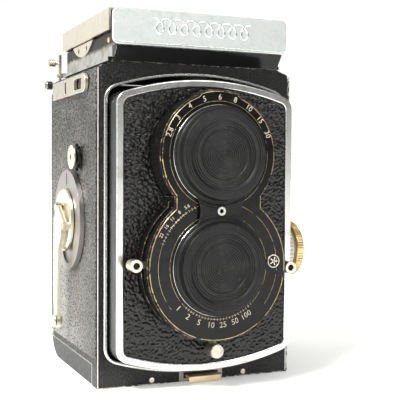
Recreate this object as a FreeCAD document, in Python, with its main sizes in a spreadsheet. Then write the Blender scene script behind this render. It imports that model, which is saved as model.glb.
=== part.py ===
import FreeCAD, Part
import Sketcher
import os
from FreeCAD import Placement, Rotation, Vector

# Twin lens reflex camera, roll film, 6 x 6 cm, with a folding hood and a winding crank.
# Frame: X to the viewer's right, Y towards the back, Z up, in millimetres.
# The origin is the mouth of the tripod socket, in the middle of the base.

doc = FreeCAD.newDocument("twin_lens_reflex_camera")
sheet = doc.addObject("Spreadsheet::Sheet", "Sizes")
parts = []


# ---------------------------------------------------------------- sizes and their formulas
class Size:
    """A length in millimetres, with the formula that gives it from the sheet."""

    def __init__(self, value, formula):
        self.value = value
        self.formula = formula

    def __add__(self, other):
        other = as_size(other)
        return Size(self.value + other.value, "(%s + %s)" % (self.formula, other.formula))

    def __sub__(self, other):
        other = as_size(other)
        return Size(self.value - other.value, "(%s - %s)" % (self.formula, other.formula))

    def __mul__(self, other):
        other = as_size(other)
        return Size(self.value * other.value, "(%s * %s)" % (self.formula, other.formula))

    def __truediv__(self, other):
        other = as_size(other)
        return Size(self.value / other.value, "(%s / %s)" % (self.formula, other.formula))

    def __neg__(self):
        return as_size(0) - self

    def __radd__(self, other):
        return as_size(other) + self

    def __rsub__(self, other):
        return as_size(other) - self

    def __rmul__(self, other):
        return as_size(other) * self


def as_size(term):
    if isinstance(term, Size):
        return term
    return Size(float(term), "%.6f" % term if term >= 0 else "(0 - %.6f)" % -term)


SIZE_TABLE = {
    # body casting
    "body_width": (76.0, "across the bare casting"),
    "body_depth": (68.0, "front face to back plate"),
    "body_height": (116.2, "base to top deck"),
    "shoulder_run": (6.0, "width of the sloped top edge"),
    "shoulder_drop": (2.3, "drop of the sloped top edge"),
    "body_wall": (1.7, "casting wall"),
    "deck_thick": (1.6, "top deck under the hood"),
    "front_corner": (2.0, "radius of the front uprights"),
    "nose_depth": (7.0, "solid foot in front of the back's tray"),
    "leather_thick": (0.6, "body covering"),
    "running_gap": (0.05, "radial clearance of a turning or sliding fit"),
    "free_gap": (0.3, "clearance between pieces that move apart"),
    # back, hinged at the top rear
    "back_thick": (2.6, "back plate"),
    "tray_floor": (1.6, "floor of the tray under the body"),
    "lip_height": (7.7, "sides of the tray"),
    "back_corner": (12.0, "radius at the foot of the back"),
    "back_drop": (6.7, "top edge of the back plate below the deck"),
    "back_hinge_drop": (3.2, "back's hinge below the deck"),
    "back_hinge_inset": (0.9, "hinge axis in from the rear face"),
    "knuckle_radius": (1.6, "hinge barrel"),
    "hinge_pin_radius": (0.9, "hinge pin of the back"),
    "hinge_head_radius": (1.7, "round head at each end of that pin"),
    "socket_radius": (7.0, "tripod bush"),
    "socket_bore": (3.1, "tripod thread"),
    "socket_height": (4.8, "tripod bush"),
    # front: arched outlines of the ring, the board and its leather
    "ring_half": (36.0, "half width of the front ring"),
    "ring_drop": (3.1, "crown of the front ring below the deck"),
    "ring_bottom": (3.5, "lowest point of the front ring"),
    "ring_band": (1.3, "width of the front ring"),
    "ring_proud": (1.0, "height of the front ring"),
    "top_arch": (99.5, "radius of the arch at the top"),
    "bottom_arch": (98.0, "radius of the arch at the bottom"),
    "arch_corner": (5.0, "corner radius of the arched outlines"),
    "board_half": (34.1, "half width of the lens board"),
    "board_drop": (6.3, "crown of the lens board below the deck"),
    "board_bottom": (5.7, "lowest point of the lens board"),
    "board_stand": (9.4, "board in front of the body"),
    "board_rim": (2.7, "bright rim round the board's leather"),
    "board_recess": (1.0, "depth of the seat of the board's leather"),
    "board_wall": (1.5, "wall of the sliding front"),
    "front_tail": (8.5, "sliding front inside the body"),
    "front_travel": (7.8, "focusing travel"),
    # lenses and shutter housing
    "viewing_z": (83.1, "viewing axis"),
    "taking_z": (44.2, "taking axis"),
    "viewing_lobe": (21.9, "upper lobe of the housing"),
    "shutter_lobe": (26.4, "lower lobe of the housing"),
    "neck_half": (16.4, "half width between the lobes"),
    "housing_depth": (9.4, "housing in front of the board"),
    "face_thick": (0.7, "enamelled faceplate"),
    "barrel_radius": (14.2, "lens barrels"),
    "barrel_bore": (12.0, "lens barrels"),
    "barrel_front": (3.8, "barrels in front of the faceplate"),
    "bezel_band": (3.2, "bright bezel round each barrel"),
    "bezel_thick": (0.5, "bright bezel"),
    "cap_foot_wall": (3.0, "wall of a lens cap at its foot"),
    "cap_crown_wall": (1.3, "wall of a lens cap at its front"),
    "cap_height": (4.5, "lens cap"),
    "lever_reach": (29.6, "lever knobs from the taking axis"),
    "lever_head": (2.2, "radius of a lever knob"),
    "groove_radius": (21.5, "floor of the lever slot"),
    "groove_width": (2.6, "lever slot"),
    # hood
    "hood_half": (34.0, "half width of the lid"),
    "hood_front_half": (32.4, "half width of the hood's walls"),
    "hood_wall": (1.1, "hood walls"),
    "sill_thick": (1.4, "foot of the hood"),
    "hood_wall_rise": (10.3, "top of the hood's walls above the deck"),
    "lid_rise": (18.5, "top of the closed lid above the deck"),
    "lid_skirt": (7.7, "height of the lid's sides"),
    "lid_wall": (0.9, "lid sheet"),
    "lid_front": (33.4, "lid's front edge before the middle"),
    "lid_back": (31.2, "lid's rear edge behind the middle"),
    "lid_hinge_y": (34.6, "lid hinge before the middle"),
    "lid_hinge_rise": (16.7, "lid hinge above the deck"),
    "plate_half": (34.15, "half width of the nameplate"),
    "plate_foot_rise": (5.2, "foot of the nameplate above the deck"),
    "plate_top_rise": (17.9, "top of the nameplate above the deck"),
    "plate_thick": (0.9, "nameplate"),
    "plate_y": (37.6, "back of the nameplate before the middle"),
    "flap_hinge_x": (30.3, "side flap hinges from the middle"),
    "flap_hinge_y": (28.0, "rear flap hinge behind the middle"),
    "flap_front_y": (31.0, "front corner of the side flaps"),
    "flap_rise": (2.9, "flap hinges above the deck"),
    "flap_thick": (1.0, "flap sheet"),
    "side_flap_reach": (24.0, "height of a raised side flap"),
    "rear_flap_reach": (20.0, "height of the raised rear flap"),
    "mitre_gap": (0.7, "gap along the flap corners"),
    "glass_arm": (30.0, "magnifier hinge from the lid hinge"),
    "glass_rise": (13.8, "magnifier hinge above the deck"),
    "glass_radius": (11.0, "magnifier lens"),
    # crank side and focusing side
    "crank_z": (58.4, "crank axis"),
    "crank_plate_radius": (19.3, "bright disc behind the crank"),
    "crank_plate_thick": (1.8, "bright disc"),
    "crank_hub_radius": (12.0, "crank hub"),
    "crank_hub_thick": (1.6, "crank hub"),
    "shaft_radius": (3.5, "crank shaft"),
    "arm_length": (39.0, "crank axis to handle"),
    "arm_half": (2.4, "half width of the crank arm"),
    "arm_thick": (1.4, "crank arm"),
    "crank_hinge_slant": (32.6, "slant of the crank's hinge, in degrees"),
    "counter_y": (12.0, "counter knob before the middle"),
    "counter_z": (82.4, "counter knob height"),
    "counter_radius": (4.5, "counter knob"),
    "focus_y": (17.0, "focusing axis before the middle"),
    "focus_z": (46.3, "focusing axis height"),
    "focus_radius": (10.7, "focusing knob"),
    "focus_proud": (11.5, "face of the focusing knob outside the body"),
    "focus_shaft": (3.0, "focusing shaft"),
    "scale_radius": (9.9, "distance scale drum"),
    "lug_thick": (1.4, "strap lug plate"),
    "lug_drop": (6.9, "middle of the strap lugs below the deck"),
    "lug_half": (3.4, "half height of a strap lug"),
    # film path
    "gate_half": (28.0, "half side of the picture"),
    "gate_y": (24.0, "front of the film gate behind the middle"),
    "gate_thick": (1.2, "film gate"),
    "flange_radius": (12.4, "spool flange"),
    "core_radius": (6.0, "spool core"),
    "spool_half": (30.4, "half length of a spool"),
    "spool_pin": (3.0, "radius of the pins that hold a spool"),
    "supply_y": (12.0, "supply spool before the middle"),
    "supply_z": (14.4, "supply spool height"),
    "takeup_y": (18.4, "take-up spool behind the middle"),
    "takeup_z": (87.4, "take-up spool height"),
    "mirror_rise": (92.5, "height of the mirror's plane at mid depth"),
    "mirror_thick": (1.6, "mirror glass"),
    "screen_half": (27.0, "half width of the focusing screen"),
    "screen_front": (28.8, "screen's front edge before the middle"),
    "screen_back": (19.2, "screen's rear edge behind the middle"),
}


class Sizes:
    """The driving sizes by name, each bound to its cell in the sheet."""


d = Sizes()
for row, (alias, (number, note)) in enumerate(SIZE_TABLE.items(), start=1):
    sheet.set("A%d" % row, alias)
    sheet.set("B%d" % row, str(number))
    sheet.set("C%d" % row, note)
    sheet.setAlias("B%d" % row, alias)
    setattr(d, alias, Size(number, "Sizes.%s" % alias))
doc.recompute()

front = -d.body_depth / 2
back = d.body_depth / 2
side = d.body_width / 2
shell_back = back - d.back_thick - d.free_gap
board_front = front - d.board_stand
housing_front = board_front - d.housing_depth
face_front = housing_front - d.face_thick
skin = side + d.leather_thick
d.back_top = d.body_height - d.back_drop
d.back_hinge_z = d.body_height - d.back_hinge_drop
d.ring_top = d.body_height - d.ring_drop
d.board_top = d.body_height - d.board_drop
d.hood_wall_top = d.body_height + d.hood_wall_rise
d.lid_top = d.body_height + d.lid_rise
d.lid_hinge_z = d.body_height + d.lid_hinge_rise
d.plate_bottom = d.body_height + d.plate_foot_rise
d.plate_top = d.body_height + d.plate_top_rise
d.flap_z = d.body_height + d.flap_rise
d.glass_z = d.body_height + d.glass_rise
d.focus_out = side + d.focus_proud
d.lug_z = d.body_height - d.lug_drop
d.bezel_radius = d.barrel_radius + d.bezel_band
d.cap_foot = d.barrel_radius + d.cap_foot_wall
d.cap_crown = d.barrel_radius + d.cap_crown_wall


# ---------------------------------------------------------------- building blocks
def bind(thing, name, size):
    thing.setExpression(name, as_size(size).formula)


TURN_TO = {
    "x": Rotation(Vector(0, 1, 0), 90),
    "y": Rotation(Vector(1, 0, 0), -90),
    "z": Rotation(),
}


def locate(thing, x, y, z):
    bind(thing, "Placement.Base.x", x)
    bind(thing, "Placement.Base.y", y)
    bind(thing, "Placement.Base.z", z)


def box(x, y, z, name="block"):
    """A block between the low and high bounds given on each axis."""
    block = doc.addObject("Part::Box", name)
    bind(block, "Length", as_size(x[1]) - x[0])
    bind(block, "Width", as_size(y[1]) - y[0])
    bind(block, "Height", as_size(z[1]) - z[0])
    locate(block, x[0], y[0], z[0])
    return block


def at_axis(axis, u, v, along):
    return {"x": (along, u, v), "y": (u, along, v), "z": (u, v, along)}[axis]


def rod(axis, u, v, radius, low, high, name="rod"):
    """A cylinder along an axis, at (u, v) on the other two axes."""
    bar = doc.addObject("Part::Cylinder", name)
    bar.Placement = Placement(Vector(), TURN_TO[axis])
    bind(bar, "Radius", radius)
    bind(bar, "Height", as_size(high) - low)
    locate(bar, *at_axis(axis, u, v, low))
    return bar


def cut(base, *tools, name="cut"):
    tool = tools[0]
    if len(tools) > 1:
        tool = doc.addObject("Part::MultiFuse", "tools")
        tool.Shapes = list(tools)
    result = doc.addObject("Part::Cut", name)
    result.Base = base
    result.Tool = tool
    return result


def fuse(*pieces, name="joined"):
    result = doc.addObject("Part::MultiFuse", name)
    result.Shapes = list(pieces)
    return result


def common(*pieces, name="shared"):
    result = doc.addObject("Part::MultiCommon", name)
    result.Shapes = list(pieces)
    return result


def group(*pieces, name="set"):
    result = doc.addObject("Part::Compound", name)
    result.Links = list(pieces)
    return result


def rounded(base, radius, chooses, name="rounded"):
    """The base with the chosen edges rounded."""
    doc.recompute()
    result = doc.addObject("Part::Fillet", name)
    result.Base = base
    amount = as_size(radius).value
    edges = enumerate(base.Shape.Edges, start=1)
    result.Edges = [(index, amount, amount) for index, edge in edges if chooses(edge)]
    return result


def runs_along(axis):
    """A test for straight edges that lie along one axis."""
    direction = {"x": Vector(1, 0, 0), "y": Vector(0, 1, 0), "z": Vector(0, 0, 1)}[axis]

    def test(edge):
        if not isinstance(edge.Curve, (Part.Line, Part.LineSegment)):
            return False
        return abs(edge.tangentAt(edge.FirstParameter).dot(direction)) > 0.999
    return test


def outline(body, plane, points):
    """A closed, fully dimensioned sketch of straight sides on one of the body's planes."""
    sketch = body.newObject("Sketcher::SketchObject", "Outline")
    base = [item for item in body.Origin.OriginFeatures if item.Role == plane][0]
    sketch.AttachmentSupport = [(base, "")]
    sketch.MapMode = "FlatFace"
    spots = [Vector(as_size(u).value, as_size(v).value, 0) for u, v in points]
    count = len(spots)
    for number in range(count):
        sketch.addGeometry(Part.LineSegment(spots[number], spots[(number + 1) % count]), False)
    for number in range(count):
        link = Sketcher.Constraint("Coincident", number, 2, (number + 1) % count, 1)
        sketch.addConstraint(link)
    for number, (u, v) in enumerate(points):
        for kind, length in (("DistanceX", as_size(u)), ("DistanceY", as_size(v))):
            limit = Sketcher.Constraint(kind, -1, 1, number, 1, length.value)
            index = sketch.addConstraint(limit)
            label = "%s%d" % (kind, number)
            sketch.renameConstraint(index, label)
            sketch.setExpression("Constraints.%s" % label, length.formula)
    return sketch


def plate(plane, points, low, high, name="plate"):
    """A padded outline between two bounds on the plane's normal axis."""
    body = doc.addObject("PartDesign::Body", name)
    sketch = outline(body, plane, points)
    pad = body.newObject("PartDesign::Pad", "Pad")
    pad.Profile = sketch
    bind(pad, "Length", as_size(high) - low)
    if plane == "XY_Plane":
        locate(body, 0, 0, low)
    elif plane == "XZ_Plane":
        locate(body, 0, high, 0)
    else:
        locate(body, low, 0, 0)
    return body


def turned(axis, u, v, profile, name="turned"):
    """A turned piece: its profile gives pairs of radius and distance along the axis."""
    body = doc.addObject("PartDesign::Body", name)
    if axis == "x":
        sketch = outline(body, "XY_Plane", [(along, radius) for radius, along in profile])
    elif axis == "y":
        sketch = outline(body, "XY_Plane", profile)
    else:
        sketch = outline(body, "XZ_Plane", profile)
    spin = body.newObject("PartDesign::Revolution", "Revolution")
    spin.Profile = sketch
    spin.ReferenceAxis = (sketch, ["H_Axis" if axis == "x" else "V_Axis"])
    spin.Angle = 360
    locate(body, *at_axis(axis, u, v, 0))
    return body


def arched(half, top, bottom, low, high, corner):
    """A plate between two depths with straight sides and gently arched top and bottom."""
    block = box((-half, half), (low, high), (bottom, top))
    crown_radius = d.top_arch + top - d.board_top
    crown = rod("y", 0, top - crown_radius, crown_radius, low, high)
    foot_radius = d.bottom_arch + d.board_bottom - bottom
    foot = rod("y", 0, bottom + foot_radius, foot_radius, low, high)
    return rounded(common(block, crown, foot), corner, runs_along("y"))


def sorted_pair(first, second):
    """The two sizes with the lower one first."""
    return (first, second) if as_size(first).value < as_size(second).value else (second, first)


def keep(piece, label):
    """Names a finished sub-part, which is written to its own file."""
    piece.Label = label
    parts.append(piece)
    return piece


# ---------------------------------------------------------------- body casting
def make_body_shell():
    top = d.body_height
    lip_gap = d.lip_height + d.free_gap
    block = box((-side, side), (front, shell_back), (0, top))
    block = rounded(block, d.front_corner, lambda edge: runs_along("z")(edge)
                    and edge.CenterOfMass.y < 0)
    shoulder_z = top - d.shoulder_drop
    cuts = []
    for sign in (-1, 1):
        points = [(sign * side, shoulder_z), (sign * (side - d.shoulder_run), top),
                  (sign * (side - d.shoulder_run), top + 2), (sign * (side + 2), top + 2),
                  (sign * (side + 2), shoulder_z)]
        cuts.append(plate("XZ_Plane", points, front - 1, shell_back + 1))
    inner = side - d.body_wall
    inside_front = front + d.body_wall
    foot_back = front + d.nose_depth
    cuts.append(box((-inner, inner), (inside_front, back), (lip_gap, top - d.deck_thick)))
    cuts.append(box((-side - 1, side + 1), (foot_back, back), (-1, lip_gap)))
    cuts.append(box((-inner, inner), (inside_front, foot_back + 1), (1.3, lip_gap + 1)))
    cuts.append(arched(d.ring_half - d.ring_band, d.ring_top - 1.1, d.ring_bottom + 1.1,
                       front - 1, inside_front + 1, d.arch_corner))
    cuts.append(box((-d.screen_half - 0.2, d.screen_half + 0.2),
                    (-d.screen_front - 0.2, d.screen_back + 0.2),
                    (top - d.deck_thick - 1, top + 1)))
    cuts.append(box((-5.35, 8.35), (front - 1, inside_front + 1), (1.35, 3.25)))
    gap = d.running_gap
    cuts.append(rod("x", 0, d.crank_z, d.shaft_radius + gap, -side - 1, -inner + 1))
    cuts.append(rod("x", -d.counter_y, d.counter_z, 1.6 + gap, -side - 1, -inner + 1))
    cuts.append(rod("x", -d.focus_y, d.focus_z, d.focus_shaft + gap, inner - 1, side + 1))
    cuts.append(rod("x", -d.supply_y, d.supply_z, d.spool_pin + gap, inner - 1, side + 1))
    cuts.append(rod("x", d.takeup_y, d.takeup_z, d.spool_pin + gap, inner - 1, side + 1))
    cuts.append(rod("x", 25.5, 11.2, 1.5 + gap, -side - 1, side + 1))
    shell = cut(block, *cuts)
    hinge_y = back - d.back_hinge_inset
    ears = []
    for low, high in ((-32.5, -24.5), (24.5, 32.5)):
        barrel = rod("x", hinge_y, d.back_hinge_z, d.knuckle_radius, low, high)
        web = box((low, high), (shell_back - 1, hinge_y), (d.back_hinge_z - 1, top - 0.8))
        ears.append(fuse(barrel, web))
    bore = rod("x", hinge_y, d.back_hinge_z, d.hinge_pin_radius, -side, side)
    keep(fuse(shell, cut(fuse(*ears), bore), name="shell"), "body_shell")


def make_front_trim():
    ring_outer = arched(d.ring_half, d.ring_top, d.ring_bottom, front - d.ring_proud, front,
                        d.arch_corner + d.ring_band)
    ring_inner = arched(d.ring_half - d.ring_band, d.ring_top - 1.1, d.ring_bottom + 1.1,
                        front - d.ring_proud - 1, front + 1, d.arch_corner)
    keep(cut(ring_outer, ring_inner), "front_ring")
    heads = []
    for x in (-17.8, 18.9):
        head = rod("y", x, 1.75, 0.95, front - 0.6, front)
        slot = box((x - 2, x + 2), (front - 1, front - 0.3), (1.6, 1.9))
        heads.append(cut(head, slot))
    keep(group(*heads), "front_screws")
    strike = box((-7.2, 10.2), (front - 0.6, front), (0.35, 4.2))
    slot = box((-5.35, 8.35), (front - 1, front + 1), (1.35, 3.25))
    below_ring = arched(d.ring_half, d.ring_top, d.ring_bottom, front - 2, front + 1,
                        d.arch_corner + d.ring_band)
    keep(cut(strike, slot, below_ring), "latch_plate")


def make_side_leathers():
    low, high = d.lip_height + 2.6, d.body_height - d.shoulder_drop - 0.6
    for sign, label in ((-1, "leather_crank_side"), (1, "leather_focus_side")):
        x = (-skin, -side) if sign < 0 else (side, skin)
        panel = box(x, (front + 1.6, shell_back - 0.6), (low, high))
        holes = []
        if sign < 0:
            spots = [(0, d.crank_z, d.shaft_radius + 0.5), (-d.counter_y, d.counter_z, 2.1)]
        else:
            spots = [(-d.focus_y, d.focus_z, d.focus_shaft + 0.5),
                     (-d.supply_y, d.supply_z, d.spool_pin + 0.5),
                     (d.takeup_y, d.takeup_z, d.spool_pin + 0.5)]
        for y, z, radius in spots:
            holes.append(rod("x", y, z, radius, x[0] - 1, x[1] + 1))
        keep(cut(panel, *holes), label)


def make_strap_lugs():
    lugs = []
    for sign in (-1, 1):
        x = (-skin - d.lug_thick, -skin) if sign < 0 else (skin, skin + d.lug_thick)
        strap = box(x, (-21, 24), (d.lug_z - d.lug_half, d.lug_z + d.lug_half))
        nose = rod("x", -21, d.lug_z, d.lug_half, *x)
        wide = box((x[0] - 1, x[1] + 1), (-19, -9), (d.lug_z - 2, d.lug_z + 2))
        narrow = box((x[0] - 1, x[1] + 1), (2.5, 5.0), (d.lug_z - 2.4, d.lug_z + 2.4))
        lugs.append(cut(fuse(strap, nose), wide, narrow))
    keep(group(*lugs), "strap_lugs")


# ---------------------------------------------------------------- dark chamber and mirror
def pyramid(front_half, back_half, low, high):
    tube = doc.addObject("Part::Wedge", "pyramid")
    sizes = {"Xmin": -front_half, "Xmax": front_half, "X2min": -back_half, "X2max": back_half,
             "Zmin": d.taking_z - front_half, "Zmax": d.taking_z + front_half,
             "Z2min": d.taking_z - back_half, "Z2max": d.taking_z + back_half,
             "Ymin": low, "Ymax": high}
    for name, length in sizes.items():
        bind(tube, name, length)
    return tube


def make_chamber():
    inner = side - d.body_wall
    gate = box((-inner, inner), (d.gate_y, d.gate_y + d.gate_thick), (15, 76))
    window = box((-d.gate_half, d.gate_half), (d.gate_y - 1, d.gate_y + d.gate_thick + 1),
                 (d.taking_z - d.gate_half, d.taking_z + d.gate_half))
    walls = pyramid(as_size(14), d.gate_half + 1.2, -20, d.gate_y + 0.2)
    light = pyramid(as_size(12.8), d.gate_half, -20.6, d.gate_y + 1)
    keep(cut(fuse(cut(gate, window), walls), light), "film_chamber")


def sloped(offset, thickness, half):
    """A plate that leans back at 45 degrees behind the viewing lens."""
    low_y, high_y = -25, 14
    run = 0.70710678
    a = offset * run
    b = (offset + thickness) * run
    points = [(low_y + a, d.mirror_rise + low_y - a), (high_y + a, d.mirror_rise + high_y - a),
              (high_y + b, d.mirror_rise + high_y - b), (low_y + b, d.mirror_rise + low_y - b)]
    return plate("YZ_Plane", points, -half, half)


def make_mirror():
    keep(sloped(as_size(0), d.mirror_thick, as_size(27)), "mirror")
    keep(sloped(d.mirror_thick, as_size(1.2), side - d.body_wall), "mirror_cradle")
    top = d.body_height
    keep(box((-d.screen_half, d.screen_half), (-d.screen_front, d.screen_back),
             (top - 1.3, top)), "focusing_screen")
    frame = box((-30, 30), (-31.4, 22), (top, top + 1))
    opening = box((-25, 25), (-27, 17.4), (top - 1, top + 2))
    keep(cut(frame, opening), "screen_frame")


# ---------------------------------------------------------------- hood
def make_hood_base():
    top = d.body_height
    sill_top = top + d.sill_thick
    wall_out = d.hood_front_half
    wall_in = wall_out - d.hood_wall
    sill = cut(box((-d.hood_half, d.hood_half), (front + 1, 31), (top, sill_top)),
               box((-30.3, 30.3), (-31.7, 22.3), (top - 1, sill_top + 1)))
    face_y = -d.plate_y
    front_wall = plate("YZ_Plane", [(front - 0.3, top), (face_y - 0.7, d.plate_bottom - 0.2),
                                    (face_y, d.plate_bottom - 0.2), (face_y, d.plate_top - 0.5),
                                    (face_y + 1.2, d.plate_top - 0.5), (face_y + 1.2, top + 5.8),
                                    (front + 1.2, sill_top), (front + 1.2, top)],
                       -wall_out, wall_out)
    side_outline = [(front + 1.2, top + 1), (face_y + 1.2, top + 5.8), (face_y + 0.6, d.hood_wall_top),
                    (29.8, d.hood_wall_top), (29.8, top + 1)]
    sides = [plate("YZ_Plane", side_outline, -wall_out, -wall_in),
             plate("YZ_Plane", side_outline, wall_in, wall_out)]
    rear = box((-wall_out, wall_out), (28.7, 29.8), (top + 1, d.hood_wall_top))
    hinge_y = -d.lid_hinge_y
    ears = []
    for low, high in ((-wall_out + 0.2, -28.8), (28.8, wall_out - 0.2)):
        ears.append(box((low, high), (face_y + 1, hinge_y + 1.1), (top + 12.8, d.lid_hinge_z + 0.6)))
    pin_hole = rod("x", hinge_y, d.lid_hinge_z, 0.8, -side, side)
    catch_ear = box((-d.hood_half + 0.1, -d.hood_half + 1.1), (30, 34.8), (top + 0.1, top + 2))
    catch_pin = rod("x", 33.6, top + 1, 0.7, -d.hood_half - 1.8, -d.hood_half + 0.5)
    whole = fuse(sill, front_wall, *sides, rear, cut(fuse(*ears), pin_hole), catch_ear, catch_pin)
    keep(whole, "hood_base")
    keep(rod("x", hinge_y, d.lid_hinge_z, 0.8, -wall_out, wall_out), "hood_hinge_pin")
    blank = box((-d.plate_half, d.plate_half), (face_y - d.plate_thick, face_y),
                (d.plate_bottom, d.plate_top))
    keep(rounded(blank, 2.5, runs_along("y")), "nameplate")
    brackets = []
    for low, high in ((-wall_out - 0.6, -wall_out), (wall_out, wall_out + 0.6)):
        disc = rod("x", 4, top + 28.6, 23, low, high)
        segment = common(disc, box((low, high), (-15, 23), (top + 4.8, d.lid_top - d.lid_skirt - d.free_gap)))
        holes = [rod("x", y, top + 8.4, 1.0, low - 1, high + 1) for y in (-1.5, 9.5)]
        brackets.append(cut(segment, *holes))
    keep(group(*brackets), "hood_brackets")


def make_lid():
    half = d.hood_half
    top = d.lid_top
    under = top - d.lid_wall
    foot = top - d.lid_skirt
    outer = box((-half, half), (-d.lid_front, d.lid_back), (foot, top))
    hollow = box((-half + d.lid_wall, half - d.lid_wall), (-d.lid_front - 1, d.lid_back - d.lid_wall),
                 (foot - 1, under))
    hinge_y = -d.lid_hinge_y
    barrel = rod("x", hinge_y, d.lid_hinge_z, 1.3, -28.4, 28.4)
    web = box((-28.4, 28.4), (hinge_y, -d.lid_front + 0.8), (d.lid_hinge_z + 0.1, under + 0.3))
    glass_y = hinge_y + d.glass_arm
    ears = [box((low, high), (glass_y - 1.4, glass_y + 1.4), (d.glass_z - 1.4, under + 0.3))
            for low, high in ((-16.4, -15), (15, 16.4))]
    pin = rod("x", glass_y, d.glass_z, 0.7, -16.2, 16.2)
    bore = rod("x", hinge_y, d.lid_hinge_z, 0.8 + d.running_gap, -side, side)
    shell = cut(outer, hollow)
    keep(fuse(cut(fuse(shell, barrel, web), bore), *ears, pin), "hood_lid")


def make_flaps():
    low, high = d.flap_z - d.flap_thick / 2, d.flap_z + d.flap_thick / 2
    reach = d.side_flap_reach
    inner = d.flap_hinge_x - reach
    gap = d.mitre_gap
    for sign, label in ((-1, "hood_flap_crank_side"), (1, "hood_flap_focus_side")):
        points = [(sign * d.flap_hinge_x, -d.flap_front_y), (sign * d.flap_hinge_x, d.flap_hinge_y - gap),
                  (sign * inner, d.flap_hinge_y - reach - gap), (sign * inner, reach - d.flap_front_y)]
        keep(plate("XY_Plane", points, low, high), label)
    rise = d.rear_flap_reach
    wide = d.flap_hinge_x - gap
    points = [(-wide, d.flap_hinge_y), (wide, d.flap_hinge_y),
              (wide - rise, d.flap_hinge_y - rise), (rise - wide, d.flap_hinge_y - rise)]
    keep(plate("XY_Plane", points, low, high), "hood_flap_rear")


def make_magnifier():
    hinge_y = -d.lid_hinge_y + d.glass_arm
    centre_y = hinge_y + 15
    barrel = rod("x", hinge_y, d.glass_z, 1.4, -14.6, 14.6)
    leaf = box((-14, 14), (hinge_y, hinge_y + 26), (d.glass_z - 0.9, d.glass_z + 0.3))
    rim = rod("z", 0, centre_y, d.glass_radius + 1.4, d.glass_z - 1.6, d.glass_z + 1.2)
    bore = rod("z", 0, centre_y, d.glass_radius, d.glass_z - 3, d.glass_z + 3)
    pin_bore = rod("x", hinge_y, d.glass_z, 0.7 + d.running_gap, -20, 20)
    keep(cut(fuse(barrel, leaf, rim), bore, pin_bore), "magnifier_frame")
    disc = rod("z", 0, centre_y, d.glass_radius, d.glass_z - 1.4, d.glass_z + 1.4)
    ball = doc.addObject("Part::Sphere", "ball")
    bind(ball, "Radius", 45)
    locate(ball, 0, centre_y, d.glass_z + 1.2 - 45)
    keep(common(disc, ball), "magnifier_lens")


def make_hood_catch():
    x = -d.hood_half - 0.2
    grip_z = d.body_height + 6.1
    blade = box((x - 1, x), (32.3, 34.9), (d.body_height - 1.2, d.body_height + 9.8))
    stem = rod("x", 33.6, grip_z, 0.8, x - 4, x - 0.5)
    knob = rod("x", 33.6, grip_z, 1.7, x - 5.2, x - 2.5)
    bore = rod("x", 33.6, d.body_height + 1, 0.7 + d.running_gap, x - 2, x + 1)
    keep(cut(fuse(blade, stem, knob), bore), "hood_catch")


# ---------------------------------------------------------------- sliding front
def make_lens_board():
    half, top, bottom = d.board_half, d.board_top, d.board_bottom
    corner = d.arch_corner
    tail = front + d.front_tail
    outer = arched(half, top, bottom, board_front, tail, corner)
    wall = d.board_wall
    inside = arched(half - wall, top - wall, bottom + wall, board_front + d.board_recess + 1.6,
                    tail + 1, corner - wall)
    rim = d.board_rim
    recess = arched(half - rim, top - rim, bottom + rim, board_front - 1,
                    board_front + d.board_recess, corner - rim + 0.6)
    bores = [rod("y", 0, z, d.barrel_radius, board_front - 1, board_front + 5)
             for z in (d.viewing_z, d.taking_z)]
    keep(cut(outer, inside, recess, *bores), "lens_board")
    leather = arched(half - rim - 0.1, top - rim - 0.1, bottom + rim + 0.1, board_front + 0.2,
                     board_front + d.board_recess, corner - rim + 0.6)
    holes = figure_eight(0.1, board_front - 1, board_front + 3)
    keep(cut(leather, holes), "board_leather")


def figure_eight(grow, low, high):
    upper = rod("y", 0, d.viewing_z, d.viewing_lobe + grow, low, high)
    lower = rod("y", 0, d.taking_z, d.shutter_lobe + grow, low, high)
    neck = box((-d.neck_half - grow, d.neck_half + grow), (low, high),
               (d.taking_z + 18, d.viewing_z - 12))
    crest = common(rod("y", 0, d.viewing_z, d.viewing_lobe + grow + 0.8, low, high),
                   box((-8 - grow, 8 + grow), (low, high), (d.viewing_z, d.viewing_z + 30)))
    return fuse(upper, lower, neck, crest)


def make_lens_housing():
    seat = board_front + d.board_recess
    shell = figure_eight(0, housing_front, seat)
    bores = [rod("y", 0, z, d.barrel_radius, housing_front - 1, seat + 1)
             for z in (d.viewing_z, d.taking_z)]
    groove_low = housing_front + 3.5
    ring = cut(rod("y", 0, d.taking_z, d.shutter_lobe + 1.5, groove_low, groove_low + d.groove_width),
               rod("y", 0, d.taking_z, d.groove_radius, groove_low - 1, groove_low + 4))
    keep(cut(shell, *bores, ring), "lens_housing")
    face = figure_eight(-0.5, face_front, housing_front)
    face_bores = [rod("y", 0, z, d.barrel_radius, face_front - 1, housing_front + 1)
                  for z in (d.viewing_z, d.taking_z)]
    keep(cut(face, *face_bores), "housing_faceplate")


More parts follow.
